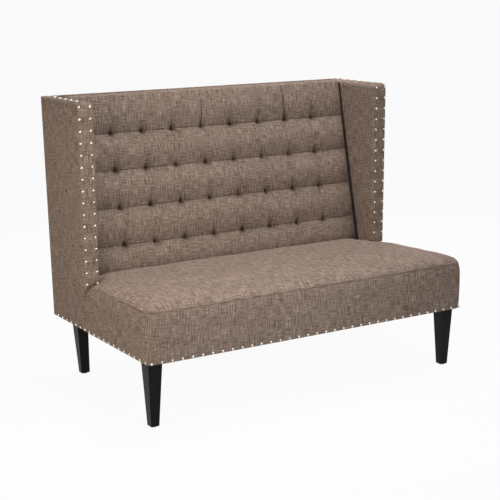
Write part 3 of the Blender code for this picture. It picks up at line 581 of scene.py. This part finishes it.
def seat_border():
    """The strip's face with its seam roll above, its turned edge below and a dent at each nail."""
    places, outward = plan_line(seat_half + 0.0008, front_y + 0.0005, border_end_y, 0.02, 0.0065)
    (x_row, y_row), (out_x, out_y) = places.T, outward.T
    run = distance_run(np.hypot(*np.diff(places, axis=0).T))
    low, high, turned, roll, stands = underside_z, sewn_z, 0.003, 0.0022, 0.0028
    profile = [(low + 0.0002, -0.014), (low, -0.005), (low + 0.0004, -0.0022), (low + 0.0014, -0.0006),
               (low + turned, 0.0002)]
    for share in np.linspace(0, 1, 40)[1:-1]:
        swell = 0.0026 * math.sin(math.pi / 2 * min(1, share / 0.6)) ** 0.8
        profile.append((low + turned + (high - low - turned - roll) * share, 0.0002 + swell))
    for turn in np.linspace(0, math.pi / 2, 5):
        profile.append((high - roll + roll * math.sin(turn), stands - roll * (1 - math.cos(turn))))
    profile.append((high - 0.0015, -0.002))
    heights, outs = np.array(profile).T
    z = np.repeat(heights[:, None], len(places), 1)
    up = (heights - low) / (high - low)
    on_side = np.abs(out_x) > 0.9
    sloped = on_side * shoulder(y_row)
    near_seam = unit(1 - (high - z) / (0.036 + 0.012 * sloped))
    out = outs[:, None] - (0.0058 + 0.0085 * sloped) * near_seam ** 2
    z = z - on_side * (sewn_z - side_seam_z(y_row)) * unit(up)[:, None]
    out -= 0.0042 * on_side * (1 - quarter_round((border_end_y - y_row) / 0.0045))
    for row, nails, here in ((x_row, front_nail_xs, ~on_side), (y_row, side_nail_ys, on_side)):
        for nail in nails:
            out -= 0.0012 * here * bell(np.hypot(row - nail, z - bottom_nail_z), 0.007)
    out += 0.0006 * np.sin(run * 23 + 2 * np.sin(run * 7)) * np.sin(up[:, None] * 3.1) ** 2
    layer = np.stack([x_row + out * out_x, y_row + out * out_y, z], -1)
    u, v = np.meshgrid(run, distance_run(np.hypot(np.diff(heights), np.diff(outs))))
    # Painted shade under the seam roll, and at the strip's ends beside the wings.
    deep = np.zeros_like(z)
    deep[-6:] = np.array([0, 0, 0.15, 0.35, 0.55, 0.8])[:, None] * (1 - 0.75 * sloped)
    deep = np.maximum(deep, 0.8 * on_side * unit(1 - (border_end_y - y_row) / 0.0024))
    return made_up("seat_border_cover",
                   [(layer, np.stack([u, v + 0.7, deep], -1), None, False),
                    (layer[[-1, 0]], np.stack([u[:2], v[[-1, 0]]], -1), None, False)], taupe_linen)


fitted(seat_border(), "cover_fabric", "seat_border_front", "seat_border_left", "seat_border_right", fill=1.0)

# Back webbing: four straps of woven elastic, stretched over the posts and stapled behind each row of
# tufts. The tuft cords pull against them.


def webbing():
    """Black and grey woven elastic with a ribbed weave."""
    finish, cloth = new_finish("woven_elastic", True, Roughness=0.8)
    rib = wave(finish, node(finish, "SeparateXYZ", {0: cloth})[0], 0.0022)
    threads = worn_noise(finish, cloth, (0.02, 0.0012, 1), 2, flat=True)
    share = added(finish, (rib, 0.12), (threads, 0.8), (0.1, 1.0))
    return coated(finish, tones(finish, share, (0.3, (0.012, 0.012, 0.013)), (0.7, (0.06, 0.06, 0.058))),
                  None, (share, 0.0004))


def strap(number, finish):
    """One strap with rounded selvedges, following the rake of the posts."""
    stands_for = "back_webbing_" + str(number)
    low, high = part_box(stands_for)
    thickness, selvedge, tip = 0.0016, 0.0006, 0.001
    rake = (high.y - low.y - 0.002) / (high.z - low.z)
    xs = np.concatenate([[low.x, low.x + tip], np.linspace(low.x + 0.02, high.x - 0.02, 30),
                         [high.x - tip, high.x]])
    x, share = np.meshgrid(xs, crowded(0, 1, 12, 1.5))
    z = low.z + selvedge + (high.z - low.z - 2 * selvedge) * share
    half = thickness / 2 * quarter_round(np.minimum(share, 1 - share) / 0.03)
    half = half * np.sqrt(unit(np.minimum(x - low.x, high.x - x) / tip))
    middle = low.y + 0.001 + rake * (z - low.z)
    piece = two_faced("webbing_strap_" + str(number), 1, middle, half, x, z, finish)
    fitted(piece, "elastic_webbing", stands_for,
           flat=(high.x - low.x, math.hypot(high.z - low.z, rake * (high.z - low.z))), held="stretched",
           rests_on=["back_post_left", "back_post_right"])


elastic = webbing()
for strap_number in (1, 2, 3, 4):
    strap(strap_number, elastic)

# Back pad: foam under linen, drawn back by blind tufts on four sewn channels, eight to a row.
# The cover stands full between the channels, creases above each tuft and rolls over the top rail.

(_, _, pad_foot_z), (pad_right_x, pad_rear_y, top_z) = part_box("back_pad")
pad_half = pad_right_x - 0.0028
tuft_xs = [(column - 3.5) * 2 * (wing_inner_x - 0.15) / 7 for column in range(8)]
tuft_zs = [seam_z + 0.099 + row * (top_z - 0.136 - seam_z - 0.099) / 3 for row in range(4)]
tuft_gap = tuft_zs[1] - tuft_zs[0]
pad_seat_y = front_y + 0.56
pad_rake = (0.31 - pad_seat_y) / (top_z - seam_z)
# Lean, length and firmness of the long creases over the top row, by column.
crest_creases = {2: (-0.002, 0.065, 1.2), 3: (0.001, 0.11, 1.6), 5: (0.004, 0.07, 1.0),
                 6: (-0.012, 0.26, 2.2), 7: (0.003, 0.06, 1.2)}


def tuft_line(z):
    """The raked plane that the tufts and channels lie in."""
    return pad_seat_y + pad_rake * (z - seam_z)


def pad_columns():
    """Columns of the pad, crowded at every tuft and at both sides."""
    half_gap = (tuft_xs[1] - tuft_xs[0]) / 2
    near = np.concatenate([np.arange(0, 0.015, 0.0018), np.linspace(0.017, half_gap, 11)])
    margin = tuft_xs[-1] + half_gap
    margins = margin + (pad_half - margin) * (1 - np.linspace(1, 0, 19) ** 2.0)
    xs = [tuft_x + way * offset for tuft_x in tuft_xs for offset in near for way in (1, -1)]
    xs += [way * x for x in margins for way in (1, -1)]
    return np.array(sorted({round(x, 5) for x in xs}))


def pad_heights(crest_start):
    """Rows up the pad to the start of its crest, crowded at every channel."""
    near = np.array([0, 0.0008, 0.0018, 0.003, 0.0045, 0.006, 0.008, 0.0102, 0.0126, 0.0152, 0.018, 0.022])
    zs = []
    for tuft_z in tuft_zs:
        zs += list(tuft_z - near[1:]) + list(tuft_z + near)
    for low, high in zip([pad_foot_z] + tuft_zs, tuft_zs + [crest_start + near[-1]]):
        start = low if low == pad_foot_z else low + near[-1]
        zs += list(np.linspace(start, high - near[-1], int((high - near[-1] - start) / 0.0046)))
    return np.array(sorted(set(np.round(zs, 5))))


def band_fullness(z):
    """How far the cover stands in front of the tuft plane midway between two tufts."""
    above = np.clip(z - tuft_zs[0], -tuft_gap / 2, tuft_zs[-1] - tuft_zs[0])
    full = 0.0155 * np.abs(np.sin(math.pi * above / tuft_gap)) ** 0.88
    full = full - 4.4 * np.clip(0.43 - z, 0, 0.035) ** 2
    past = unit((z - tuft_zs[-1]) / 0.078)
    top_full = 0.0168 * np.sin(math.pi / 2 * past) ** 0.8 - 1.15 * np.clip(z - 0.945, 0, 0.07) ** 2
    return np.where(z > tuft_zs[-1], top_full, full)


def side_fall(x):
    """How full the cover still is towards the pad's sides, from 1 down to 0."""
    return 1 - fade(pad_half - np.abs(x), 0.007)


def pad_fullness(x, z):
    """How far the cover stands in front of the tuft plane, and how much painted shade it gets there."""
    side = side_fall(x)
    at_columns = sum(bell(x - tuft_x, 0.013) for tuft_x in tuft_xs)
    drawn_down = 0.0036 * at_columns
    plain = band_fullness(z + drawn_down) * side
    full = plain * (1 - 0.09 * at_columns)
    lift, deep = np.zeros_like(x), np.zeros_like(x)
    pleat_draw = np.random.default_rng(7)
    for column, tuft_x in enumerate(tuft_xs):
        for row, tuft_z in enumerate(tuft_zs):
            dx, dz = x - tuft_x - 0.0028, z - tuft_z + 0.0036
            over, above = np.maximum(dz, 0), dz > 0
            lean = pleat_draw.uniform(-0.007, 0.007)
            pull = pleat_draw.uniform(0.85, 1.15)
            length = pleat_draw.uniform(0.016, 0.034)
            firm = 1.0
            if row == 3:
                lean, length, firm = crest_creases.get(column, (lean, length, firm))
            path = dx - lean * np.sin((math.pi if row < 3 else math.pi / 2) * unit(over / tuft_gap))
            spread = np.minimum(over, 0.06)
            wide = bell(path, 0.009 + 0.15 * spread)
            full = full * (1 - 0.82 * np.where(above, fade(over, 0.04), fade(np.abs(dz), 0.009)) * wide)
            pit = bell(dx, 0.0062) * bell(dz, np.where(above, 0.0105, 0.006))
            fan = np.where(above, fade(over, 0.021), bell(dz, 0.0055)) * wide
            painted_halo = np.where(above, fade(over, 0.029), bell(dz, 0.008)) * bell(path, 0.015 + 0.26 * spread)
            basin = bell(dx, 0.025) * bell(dz, 0.02)
            crease = firm * fade(over, length) * unit(dz / 0.004) * bell(path, 0.001 + 0.0007 * firm)
            ridge = firm * fade(over, length) * unit(dz / 0.01) * bell(path - 0.0042, 0.003)
            gathers = np.cos(np.arctan2(dz, dx) * 6 + column * 1.7 + row)
            gathers = gathers * bell(np.hypot(dx, dz) - 0.02, 0.01)
            lift -= pull * (0.0115 * pit + 0.006 * fan + 0.0022 * basin)
            lift += 0.0012 * ridge - 0.0032 * crease + 0.0005 * gathers
            # Painted shade in each tuft: its pit, a wide halo above it, its basin and its crease.
            deep = np.maximum(deep, pull * (0.34 * pit + 0.4 * painted_halo + 0.17 * basin) + 0.45 * crease)
    for tuft_z in tuft_zs:
        stitch = bell(z - tuft_z + drawn_down, 0.0013) * side
        lift -= 0.0026 * stitch
        # Painted shade along each stitched channel.
        deep = np.maximum(deep, 0.3 * stitch)
    lift += 0.0008 * np.sin(x * 31 + 2 * np.sin(z * 17)) * np.sin(z * 29 + x * 7) * plain * side / 0.0155
    from_side = pad_half - np.abs(x)
    # Painted shade beside the wings and just above the seat, standing in for the shadow there.
    near_wing = 0.42 * fade(from_side, 0.017)
    near_wing += (0.06 + 0.26 * unit((0.85 - z) / 0.4)) * bell(from_side, 0.065)
    painted_shade_near_seat = 0.3 * fade(np.maximum(z - 0.395, 0), 0.045) * unit((0.48 - z) / 0.02)
    return full + lift, np.clip(np.maximum(deep, near_wing + painted_shade_near_seat), 0, 0.92)


def pad_cover():
    """Front of the pad from behind the seat up over its crest, closed at the sides and behind."""
    xs = pad_columns()
    crest_radius, crest_lean = 0.015, math.radians(20)
    crest_centre_z = top_z + 0.0015 - crest_radius
    crest_start = crest_centre_z + crest_radius * math.sin(crest_lean)
    x, z = np.meshgrid(xs, pad_heights(crest_start))
    # Fullness shapes the cover; deep is its painted shade.
    fullness, deep = pad_fullness(x, z)
    rows = [np.stack([x, tuft_line(z) - fullness, z], -1)]
    start_y = rows[0][-1, :, 1]
    even_y = float(tuft_line(crest_start) - band_fullness(np.array(crest_start)))
    crest_y = even_y + crest_radius * math.cos(crest_lean)
    for turn in np.linspace(crest_lean, math.pi / 2, 13)[1:]:
        keep = math.cos(turn) / math.cos(crest_lean)
        row_y = crest_y - crest_radius * math.cos(turn) + (start_y - even_y) * keep
        row_z = crest_centre_z + crest_radius * math.sin(turn) - (1 - side_fall(xs)) * 0.003 * (1 - keep)
        rows.append(np.stack([xs, row_y, row_z], -1)[None])
    for share in np.linspace(0, 1, 8)[1:]:
        row_y = np.full_like(xs, crest_y + (pad_rear_y - crest_y) * share)
        rows.append(np.stack([xs, row_y, row_z - 0.0075 * share ** 1.5], -1)[None])
    layer = np.concatenate(rows)
    deep = np.concatenate([deep, np.zeros((len(layer) - len(deep), len(xs)))])
    drawn_in = sum(bell(layer[..., 2] - tuft_z, 0.011) for tuft_z in tuft_zs)
    layer[..., 0] *= 1 - 0.0066 * unit((1.0 - layer[..., 2]) / 0.2) - 0.0025 * drawn_in
    run = distance_run(np.linalg.norm(np.diff(layer[:, len(xs) // 2], axis=0), axis=1))
    u, v = np.meshgrid(xs, run)
    rear_z = np.minimum(layer[..., 2], top_z - 0.0245)
    rear_y = np.where(layer[..., 2] > 0.99, pad_rear_y, np.minimum(tuft_line(rear_z) + 0.0495, pad_rear_y))
    rear = np.stack([layer[..., 0], rear_y, rear_z], -1)
    pieces = [(layer, np.stack([u, v, deep], -1), None, False)]
    for column, flipped in ((0, True), (-1, False)):
        front_edge, rear_edge = layer[:, column], rear[:, column]
        strip = np.stack([front_edge, (front_edge * 2 + rear_edge) / 3, rear_edge], 1)
        pieces.append((strip, np.stack(np.meshgrid([0, 0.02, 0.05], run)[::-1], -1), None, flipped))
    for row, flipped in ((0, True), (-1, False)):
        pieces.append((np.stack([layer[row], rear[row]]), np.stack([u[:2], v[:2]], -1), None, flipped))
    some_rows = [*range(0, len(rear) - 1, 12), len(rear) - 1]
    some_columns = [*range(0, len(xs) - 1, 16), len(xs) - 1]
    behind = rear[some_rows][:, some_columns]
    return pieces + [(behind, behind[..., [0, 2]], None, True)]


fitted(made_up("back_pad_cover", pad_cover(), taupe_linen), "cover_fabric", "back_pad", fill=0.9)

# Wing padding: a slab of open-celled cream foam, cut to the wing's outline and glued to the outer face
# of each plywood wing.

cream_foam = grained("cream_foam", [(900, "Distance", "DISTANCE_TO_EDGE"), (0.05,)], (0.8, 0.7),
                     [(0.25, (0.52, 0.44, 0.26)), (0.7, (0.78, 0.71, 0.5))], None, (0, 0.0008),
                     Roughness=0.95, Subsurface_Weight=0.1)
for side_name in ("left", "right"):
    foam_low, foam_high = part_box("wing_foam_" + side_name)
    foam = slab("wing_padding_" + side_name, foam_low, foam_high - Vector((0, 0.016, 0)), 0.005, cream_foam,
                0, 0.0006, (30, 50))
    fitted(foam, "foam", "wing_foam_" + side_name, fill=1.0)

# Wing covers: linen drawn over the plywood wings, round the front edge and over the top, and tacked
# behind and underneath. The front strip carries a column of nails along each of its edges.

wing_front_nail_zs = [1.0044 - number * 0.04079 for number in range(16)]
outer_nail_in, inner_nail_in, top_nail_in = 0.0086, 0.0475, 0.025
wing_top_nail_ys = [front_y + 0.521 + number * 0.0466 for number in range(6)]


def wing_outer_x(z):
    """Outer face of the wings, a little wider at the top."""
    return 0.6455 + 0.0094 * (z - underside_z)


def back_face_y(z):
    """Rear of the settee, which leans back a little."""
    return 0.388 - 0.016 * (top_z - z) / (top_z - underside_z)


# The wings' linen has painted shade on its inner face behind the back pad's line.
wing_linen = linen("taupe_linen_of_wings", slot=(pad_seat_y - 0.009, pad_rake, seam_z))


def wing_cover(label, side):
    """Rings up the wing, then over its rounded top to the middle of the cap."""
    corner, cap, hem = 0.01, 0.017, 0.003
    side_points, corner_points, front_points = 46, 8, 14
    cap_shares = (0.35, 0.7, 1.0)
    levels = [(underside_z + up, inset) for up, inset in (
        (0.0002, 0.012), (0.0, 0.004), (0.0004, 0.002), (0.0014, 0.0006), (hem, 0.0))]
    levels += [(underside_z + hem + (top_z - cap - underside_z - hem) * share, 0.0)
               for share in np.linspace(0, 1, 110)[1:]]
    levels += [(top_z - cap + cap * math.sin(turn), cap * (1 - math.cos(turn)))
               for turn in np.linspace(0, math.pi / 2, 9)[1:]]
    levels += [(top_z + 0.0012 * share, cap + (0.0275 - cap) * share) for share in cap_shares]
    rings, cloth_run = [], [0]
    for number, (level, inset) in enumerate(levels):
        thick_half = (wing_outer_x(min(level, top_z)) - wing_inner_x - 0.0004) / 2
        middle = wing_outer_x(min(level, top_z)) - thick_half
        inset_x = min(inset, thick_half)
        if number >= len(levels) - len(cap_shares):
            inset_x = inset = cap + (thick_half - cap) * cap_shares[number - len(levels)]
        half = thick_half - inset_x
        radius = max(min(corner - inset_x * 0.3, half), 0.0)
        front = wing_front_y + (inset if number >= 5 else 0)
        outer = [(half, y) for y in np.linspace(back_face_y(level) - 0.0065, front + radius, side_points)]
        outer += [(half - radius + radius * math.cos(turn), front + radius - radius * math.sin(turn))
                  for turn in np.linspace(0, math.pi / 2, corner_points)[1:]]
        strip = [(x, front) for x in np.linspace(half - radius, radius - half, front_points)[1:-1]]
        ring = outer + strip + [(-x, y) for x, y in outer[::-1]]
        rings.append([(middle + x, y, level) for x, y in ring])
        if number:
            last_level, last_inset = levels[number - 1]
            cloth_run.append(cloth_run[-1] + math.hypot(level - last_level, inset_x - last_inset))
    around = distance_run(np.linalg.norm(np.diff(rings[10], axis=0), axis=1))
    x, y, z = np.array(rings).transpose(2, 0, 1).copy()
    for nail_in in (outer_nail_in, inner_nail_in):
        for nail_z in wing_front_nail_zs:
            away = np.hypot(x - (wing_outer_x(z) - nail_in), z - nail_z)
            y += 0.0014 * (y < wing_front_y + 0.006) * bell(away, 0.0075)
    for nail_y in wing_top_nail_ys:
        away = np.hypot(x - (wing_outer_x(z) - top_nail_in), y - nail_y)
        z -= 0.0012 * (z > top_z - 0.004) * bell(away, 0.0075)
    meets_seat = np.interp(x, [0.588, 0.603, 0.623, 0.636, 0.6535], [0.398, 0.391, 0.386, 0.379, 0.36])
    # Where the wing meets the seat the cloth is set back a little and gets painted shade, a dark contact
    # line.
    deep = fade(np.abs(z - meets_seat), 0.0036) * (y < wing_front_y + 0.01)
    y += 0.003 * deep
    soft = 0.0012 * np.sin(z * 11 + y * 5) * np.sin(y * 17 + 1) * unit((y - wing_front_y) / 0.03)
    x += soft * (x > (wing_inner_x + 0.6455) / 2) * (z > underside_z + 0.01)
    layer = np.stack([side * x, y, z], -1)
    middle_x, middle_y, middle_z = ((layer[:-1, :-1] + layer[1:, 1:]) / 2).transpose(2, 0, 1)
    seat_foot_z, border_top_z = 0.368, 0.35
    inside_seat = (middle_z < seat_foot_z) & (np.abs(middle_x) < 0.64)
    behind_border = (middle_z < border_top_z) & (middle_y < border_end_y - 0.0015)
    cloth_places = np.stack([*np.meshgrid(around, cloth_run), 0.9 * deep], -1)
    piece = made_up("wing_cover_cloth_" + label,
                    [(layer, cloth_places, ~(inside_seat | behind_border), side > 0)], wing_linen)
    fitted(piece, "cover_fabric", "wing_cover_" + label, fill=1.0)


wing_cover("left", -1)
wing_cover("right", 1)

# Outside back: linen drawn over stiff board from wing to wing, turned in at its edges and blind tacked
# along the top, then tacked under the rear rail.


def outside_back():
    """A flat panel with rolled edges, a little slack in the cloth, leaning with the frame."""
    half = 0.0066 / 2
    across, share = np.meshgrid(crowded(-1, 1, 90, 1.7), crowded(0, 1, 60, 1.7))
    z = underside_z + (top_z - underside_z) * share
    x = across * wing_outer_x(z)
    from_edge = np.minimum.reduce([z - underside_z, top_z - z, wing_outer_x(z) - np.abs(x)]) / 0.004
    slack = unit(from_edge) * (0.0006 * np.sin(x * 4.4 + 1) * np.sin(z * 9) - 0.0006)
    piece = two_faced("outside_back_cover", 1, back_face_y(z) - half + slack / 2,
                      half * quarter_round(from_edge) + slack / 2, x, z, taupe_linen, weld=0.00002)
    fitted(piece, "cover_fabric", "outside_back", fill=1.0)


outside_back()

# Nails: domed upholstery nails of pale nickelled steel, driven one by one along the wing fronts, over
# the wing tops and round the bottom edge.


def bridged(bm, rings):
    """Points of each ring, joined to the next ring by faces."""
    made = [[bm.verts.new(place) for place in ring] for ring in rings]
    for ring, following in zip(made, made[1:]):
        for here in range(len(ring)):
            beside = here - len(ring) + 1
            bm.faces.new((ring[here], ring[beside], following[beside], following[here]))
    return made


def nail_row(name, heads):
    """A row of domes; each head is (place on the cloth, direction out of it)."""
    radius, rise, around = 0.0046, 0.0026, 14
    rim = [(1.0, -0.5), (1.0, 0.0), (0.93, 0.3), (0.78, 0.6), (0.56, 0.83), (0.29, 0.96)]
    bm = bmesh.new()
    for number, (place, out) in enumerate(heads):
        turn = Vector(out).to_track_quat("Z", "Y").to_matrix()
        turn = turn @ (Matrix.Rotation(0.05 * math.sin(number * 2.4), 3, "X")
                       @ Matrix.Rotation(0.05 * math.cos(number * 1.7), 3, "Y"))
        angles = [2 * math.pi * step / around for step in range(around)]
        rings = bridged(bm, [[Vector(place) + turn @ Vector((radius * wide * math.cos(angle),
                                                             radius * wide * math.sin(angle), rise * high))
                              for angle in angles] for wide, high in rim])
        crest = bm.verts.new(Vector(place) + turn @ Vector((0, 0, rise)))
        for step in range(around):
            bm.faces.new((rings[-1][step], rings[-1][step - around + 1], crest))
    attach(in_finish(bpy.data.meshes.new(name), bm, nickel), "root")


nickel = grained("pale_nickel", [(0.0015, 4), (0.05, 2)], (0.5, 0.5),
                 [(0.35, (0.42, 0.36, 0.29)), (0.6, (0.7, 0.64, 0.56))], (0, 0.16, 0.34), (0, 0.00003),
                 Metallic=1.0)
bare_side_x = 0.6456
side_nails = [(seat_half if y < border_end_y + 0.006 else bare_side_x, y) for y in side_nail_ys]
for side_name, side in (("left", -1), ("right", 1)):
    for edge_name, nail_in in (("outer", outer_nail_in), ("inner", inner_nail_in)):
        nail_row("nails_wing_" + side_name + "_" + edge_name,
                 [((side * (wing_outer_x(z) - nail_in), wing_front_y + 0.0004, z), (0, -1, 0))
                  for z in wing_front_nail_zs])
    nail_row("nails_wing_" + side_name + "_top",
             [((side * (wing_outer_x(top_z) - top_nail_in), y, top_z + 0.0004), (0, 0, 1))
              for y in wing_top_nail_ys])
    nail_row("nails_bottom_" + side_name,
             [((side * x, y, bottom_nail_z), (side, 0, 0)) for x, y in side_nails])
nail_row("nails_bottom_front", [((x, front_y + 0.001, bottom_nail_z), (0, -1, 0)) for x in front_nail_xs])

# Dust cover: thin black non-woven cloth under the seat, stretched over the rails and stapled.
# It hides the springs and keeps dust from falling out of the foam.


def dust_cover(low, high, finish):
    """A thin sheet, flat where it is stapled and sagging a little between the rails."""
    x, y = np.meshgrid(crowded(low.x, high.x, 70, 1.2), crowded(low.y, high.y, 46, 1.2))
    from_side, from_end = np.minimum(x - low.x, high.x - x), np.minimum(y - low.y, high.y - y)
    deep = unit((from_end - 0.07) / 0.16)
    sag = 0.004 * np.sin(unit((from_side - 0.09) / 0.18) * math.pi / 2) * np.sin(deep * math.pi / 2)
    puckers = 0.0005 * np.sin(x * 150) * fade(from_end, 0.02) * deep
    middle = (low.z + high.z) / 2 - sag - np.abs(puckers)
    half = 0.0003 * unit(np.minimum(from_side, from_end) / 0.0006)
    piece = two_faced("dust_cover_cloth", 2, middle, half, x, y, finish, weld=0.000005)
    fitted(piece, "black_dust_cloth", "dust_cover", flat=(high.x - low.x, high.y - low.y), held="stretched",
           rests_on=["front_rail", "rear_rail", "side_rail_left", "side_rail_right"])


def staples(name, places, cloth_z, finish):
    """Flat-crowned wire staples driven up through the cloth; each place is (x, y, turn)."""
    bm = bmesh.new()
    outside = [(-0.005, 0.0016), (-0.005, 0.0002), (-0.0044, -0.0004)]
    inside = [(-0.0044, 0.0016), (-0.0044, 0.0005), (-0.0041, 0.0002)]
    outside, inside = [half + [(-along, up) for along, up in half[::-1]] for half in (outside, inside)]
    for x, y, turn in places:
        ahead = Vector((math.cos(turn), math.sin(turn), 0))
        across = Vector((-ahead.y, ahead.x, 0)) * 0.0006
        rings = []
        for outer, inner in zip(outside, inside):
            outer, inner = [Vector((x, y, cloth_z + up)) + ahead * along for along, up in (outer, inner)]
            rings.append((outer - across, outer + across, inner + across, inner - across))
        rings = bridged(bm, rings)
        bm.faces.new(rings[0])
        bm.faces.new(rings[-1][::-1])
    bmesh.ops.recalc_face_normals(bm, faces=bm.faces)
    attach(in_finish(bpy.data.meshes.new(name), bm, finish, smooth=False), "root")


cloth_low, cloth_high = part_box("dust_cover")
dust_cover(cloth_low, cloth_high, grained(
    "black_dust_cloth", [(700, "Distance", "F1"), ((0.001, 0.01, 0.01), 4, 0.55, 2)], (0.5, 0.7),
    [(0.3, (0.009, 0.009, 0.01)), (0.75, (0.045, 0.045, 0.046))], None, (-1, 0.0004), Roughness=0.85))
staple_in = 0.01
staple_places = []
for y in (cloth_low.y + staple_in, cloth_high.y - staple_in):
    for x in np.linspace(-0.51, 0.51, 25):
        staple_places.append((x + 0.002 * math.sin(x * 91), y, 0.12 * math.sin(x * 57)))
for x in (cloth_low.x + staple_in, cloth_high.x - staple_in):
    staple_places += [(x, y, math.pi / 2 + 0.12 * math.sin(y * 57)) for y in np.linspace(-0.24, 0.24, 12)]
staples("dust_cover_staples", staple_places, cloth_low.z + 0.0001, parts["clip_rail_front"].data.materials[0])

# Legs: tapered solid beech, sprayed satin black, screwed up into the corner blocks by hanger bolts.
# Fine grain shows through the lacquer, which is glossier in some places than in others.

black_lacquer = grained("satin_black_lacquer", [((0.0018, 0.0018, 0.05),), ((0.03, 0.03, 0.09),)],
                        (0.5, 0.5), [(0.35, (0.003, 0.003, 0.003)), (0.65, (0.008, 0.0075, 0.007))],
                        (1, 0.28, 0.42), (0, 0.00012), IOR=1.2)
coat_with(black_lacquer, *["leg_" + corner for corner in corners])

# Glides: buttons of moulded nylon, each on a nail that is driven up into the foot. They keep the end
# grain of the legs off the floor.

dark_nylon = grained("dark_moulded_nylon", [(0.0008,), ((0.01, 0.002, 0.004),)], (0, 1),
                     [(0.4, (0.016, 0.016, 0.017)), (0.65, (0.045, 0.044, 0.042))], (1, 0.35, 0.55),
                     (0, 0.00005), IOR=1.53)
coat_with(dark_nylon, *["glide_" + corner for corner in corners])

# Setting: a pale studio floor that runs out of sight, soft lamps above, in front and behind on both
# sides, and a camera where the photographer stood.


def seen_or_mirrored(finish):
    """1 for rays from the camera, a gloss or a clear material, and 0 for light on the settee."""
    rays = node(finish, "LightPath")
    seen = maths(finish, "MAXIMUM", rays["Is Camera Ray"], rays["Is Glossy Ray"])
    return maths(finish, "MAXIMUM", seen, rays["Is Transmission Ray"])


def studio_floor():
    """Pale floor that looks white to the camera and keeps the settee's soft shadow."""
    reach, white_share = 120.0, 0.95
    finish = bpy.data.materials.new("white_floor")
    finish.use_nodes = True
    finish.node_tree.nodes.clear()
    mottle = worn_noise(finish, node(finish, "TexCoord")["Object"], 0.4)
    greys = tones(finish, mottle, (0.3, (0.59,) * 3), (0.7, (0.61,) * 3))
    painted = node(finish, "BsdfDiffuse", {"Color": greys})[0]
    glow = node(finish, "Emission", {"Color": (1, 1, 1, 1), "Strength": 1.0})[0]
    share = maths(finish, "MULTIPLY", seen_or_mirrored(finish), white_share)
    node(finish, "OutputMaterial", {"Surface": node(finish, "MixShader", {0: share, 1: painted, 2: glow})[0]})
    x, y = np.meshgrid(np.linspace(-reach, reach, 13), np.linspace(-reach, reach, 13))
    ground = (np.stack([x, y, 0 * x], -1), np.stack([x, y], -1), None, False)
    made_up("studio_floor", [ground], finish)


studio_floor()

world = bpy.data.worlds.new("white_studio")
bpy.context.scene.world = world
world.use_nodes = True
world.node_tree.nodes.clear()
room_light, white_room = [node(world, "Background", {"Color": (1, 1, 1, 1), "Strength": strength})[0]
                          for strength in (0.1, 1.0)]
room = node(world, "MixShader", {0: seen_or_mirrored(world), 1: room_light, 2: white_room})[0]
node(world, "OutputWorld", {"Surface": room})


def soft_lamp(name, place, target, size, power, tint):
    """A large soft lamp aimed at a point of the settee."""
    lamp = bpy.data.lights.new(name, "AREA")
    lamp.shape = "RECTANGLE"
    lamp.size, lamp.size_y = size
    lamp.energy = power
    lamp.color = tint
    holder = bpy.data.objects.new(name, lamp)
    holder.location = place
    holder.rotation_mode = "QUATERNION"
    holder.rotation_quaternion = (Vector(target) - Vector(place)).to_track_quat("-Z", "Y")
    holder.visible_camera = False
    bpy.context.scene.collection.objects.link(holder)


white, warm, cool = (1.0, 1.0, 1.0), (1.05, 0.99, 0.9), (0.985, 1.0, 1.03)
soft_lamp("overhead_lamp", (0.35, 0.1, 3.0), (0, 0, 0.4), (1.2, 1.0), 52, cool)
soft_lamp("left_lamp", (-1.4, -0.55, 0.85), (-0.6, 0.0, 0.45), (0.6, 0.8), 5.6, warm)
soft_lamp("front_lamp", (-0.25, -1.3, 1.0), (-0.1, 0, 0.5), (0.9, 0.5), 9.0, cool)
soft_lamp("left_rear_lamp", (-2.2, 1.6, 0.9), (-0.3, 0.2, 0.5), (1.2, 1.3), 9.0, warm)
soft_lamp("right_rear_lamp", (2.0, 2.2, 1.4), (0.2, 0.2, 0.6), (1.2, 1.2), 25, white)

to_the_right, down, tilt = 31.733, 12.34, -0.564
focal_length, sensor_width = 1239.009 / 500, 36
lens = bpy.data.cameras.new("photo_camera")
lens.sensor_width = sensor_width
lens.lens = sensor_width * focal_length
camera = bpy.data.objects.new("photo_camera", lens)
camera.matrix_world = Matrix.Translation((-2.3444, -3.7493, 1.419))
for degrees, axis in ((-to_the_right, "Z"), (90 - down, "X"), (tilt, "Z")):
    camera.matrix_world = camera.matrix_world @ Matrix.Rotation(math.radians(degrees), 4, axis)
bpy.context.scene.collection.objects.link(camera)
bpy.context.scene.camera = camera
bpy.context.scene.view_settings.view_transform = "Standard"

bpy.context.view_layer.update()
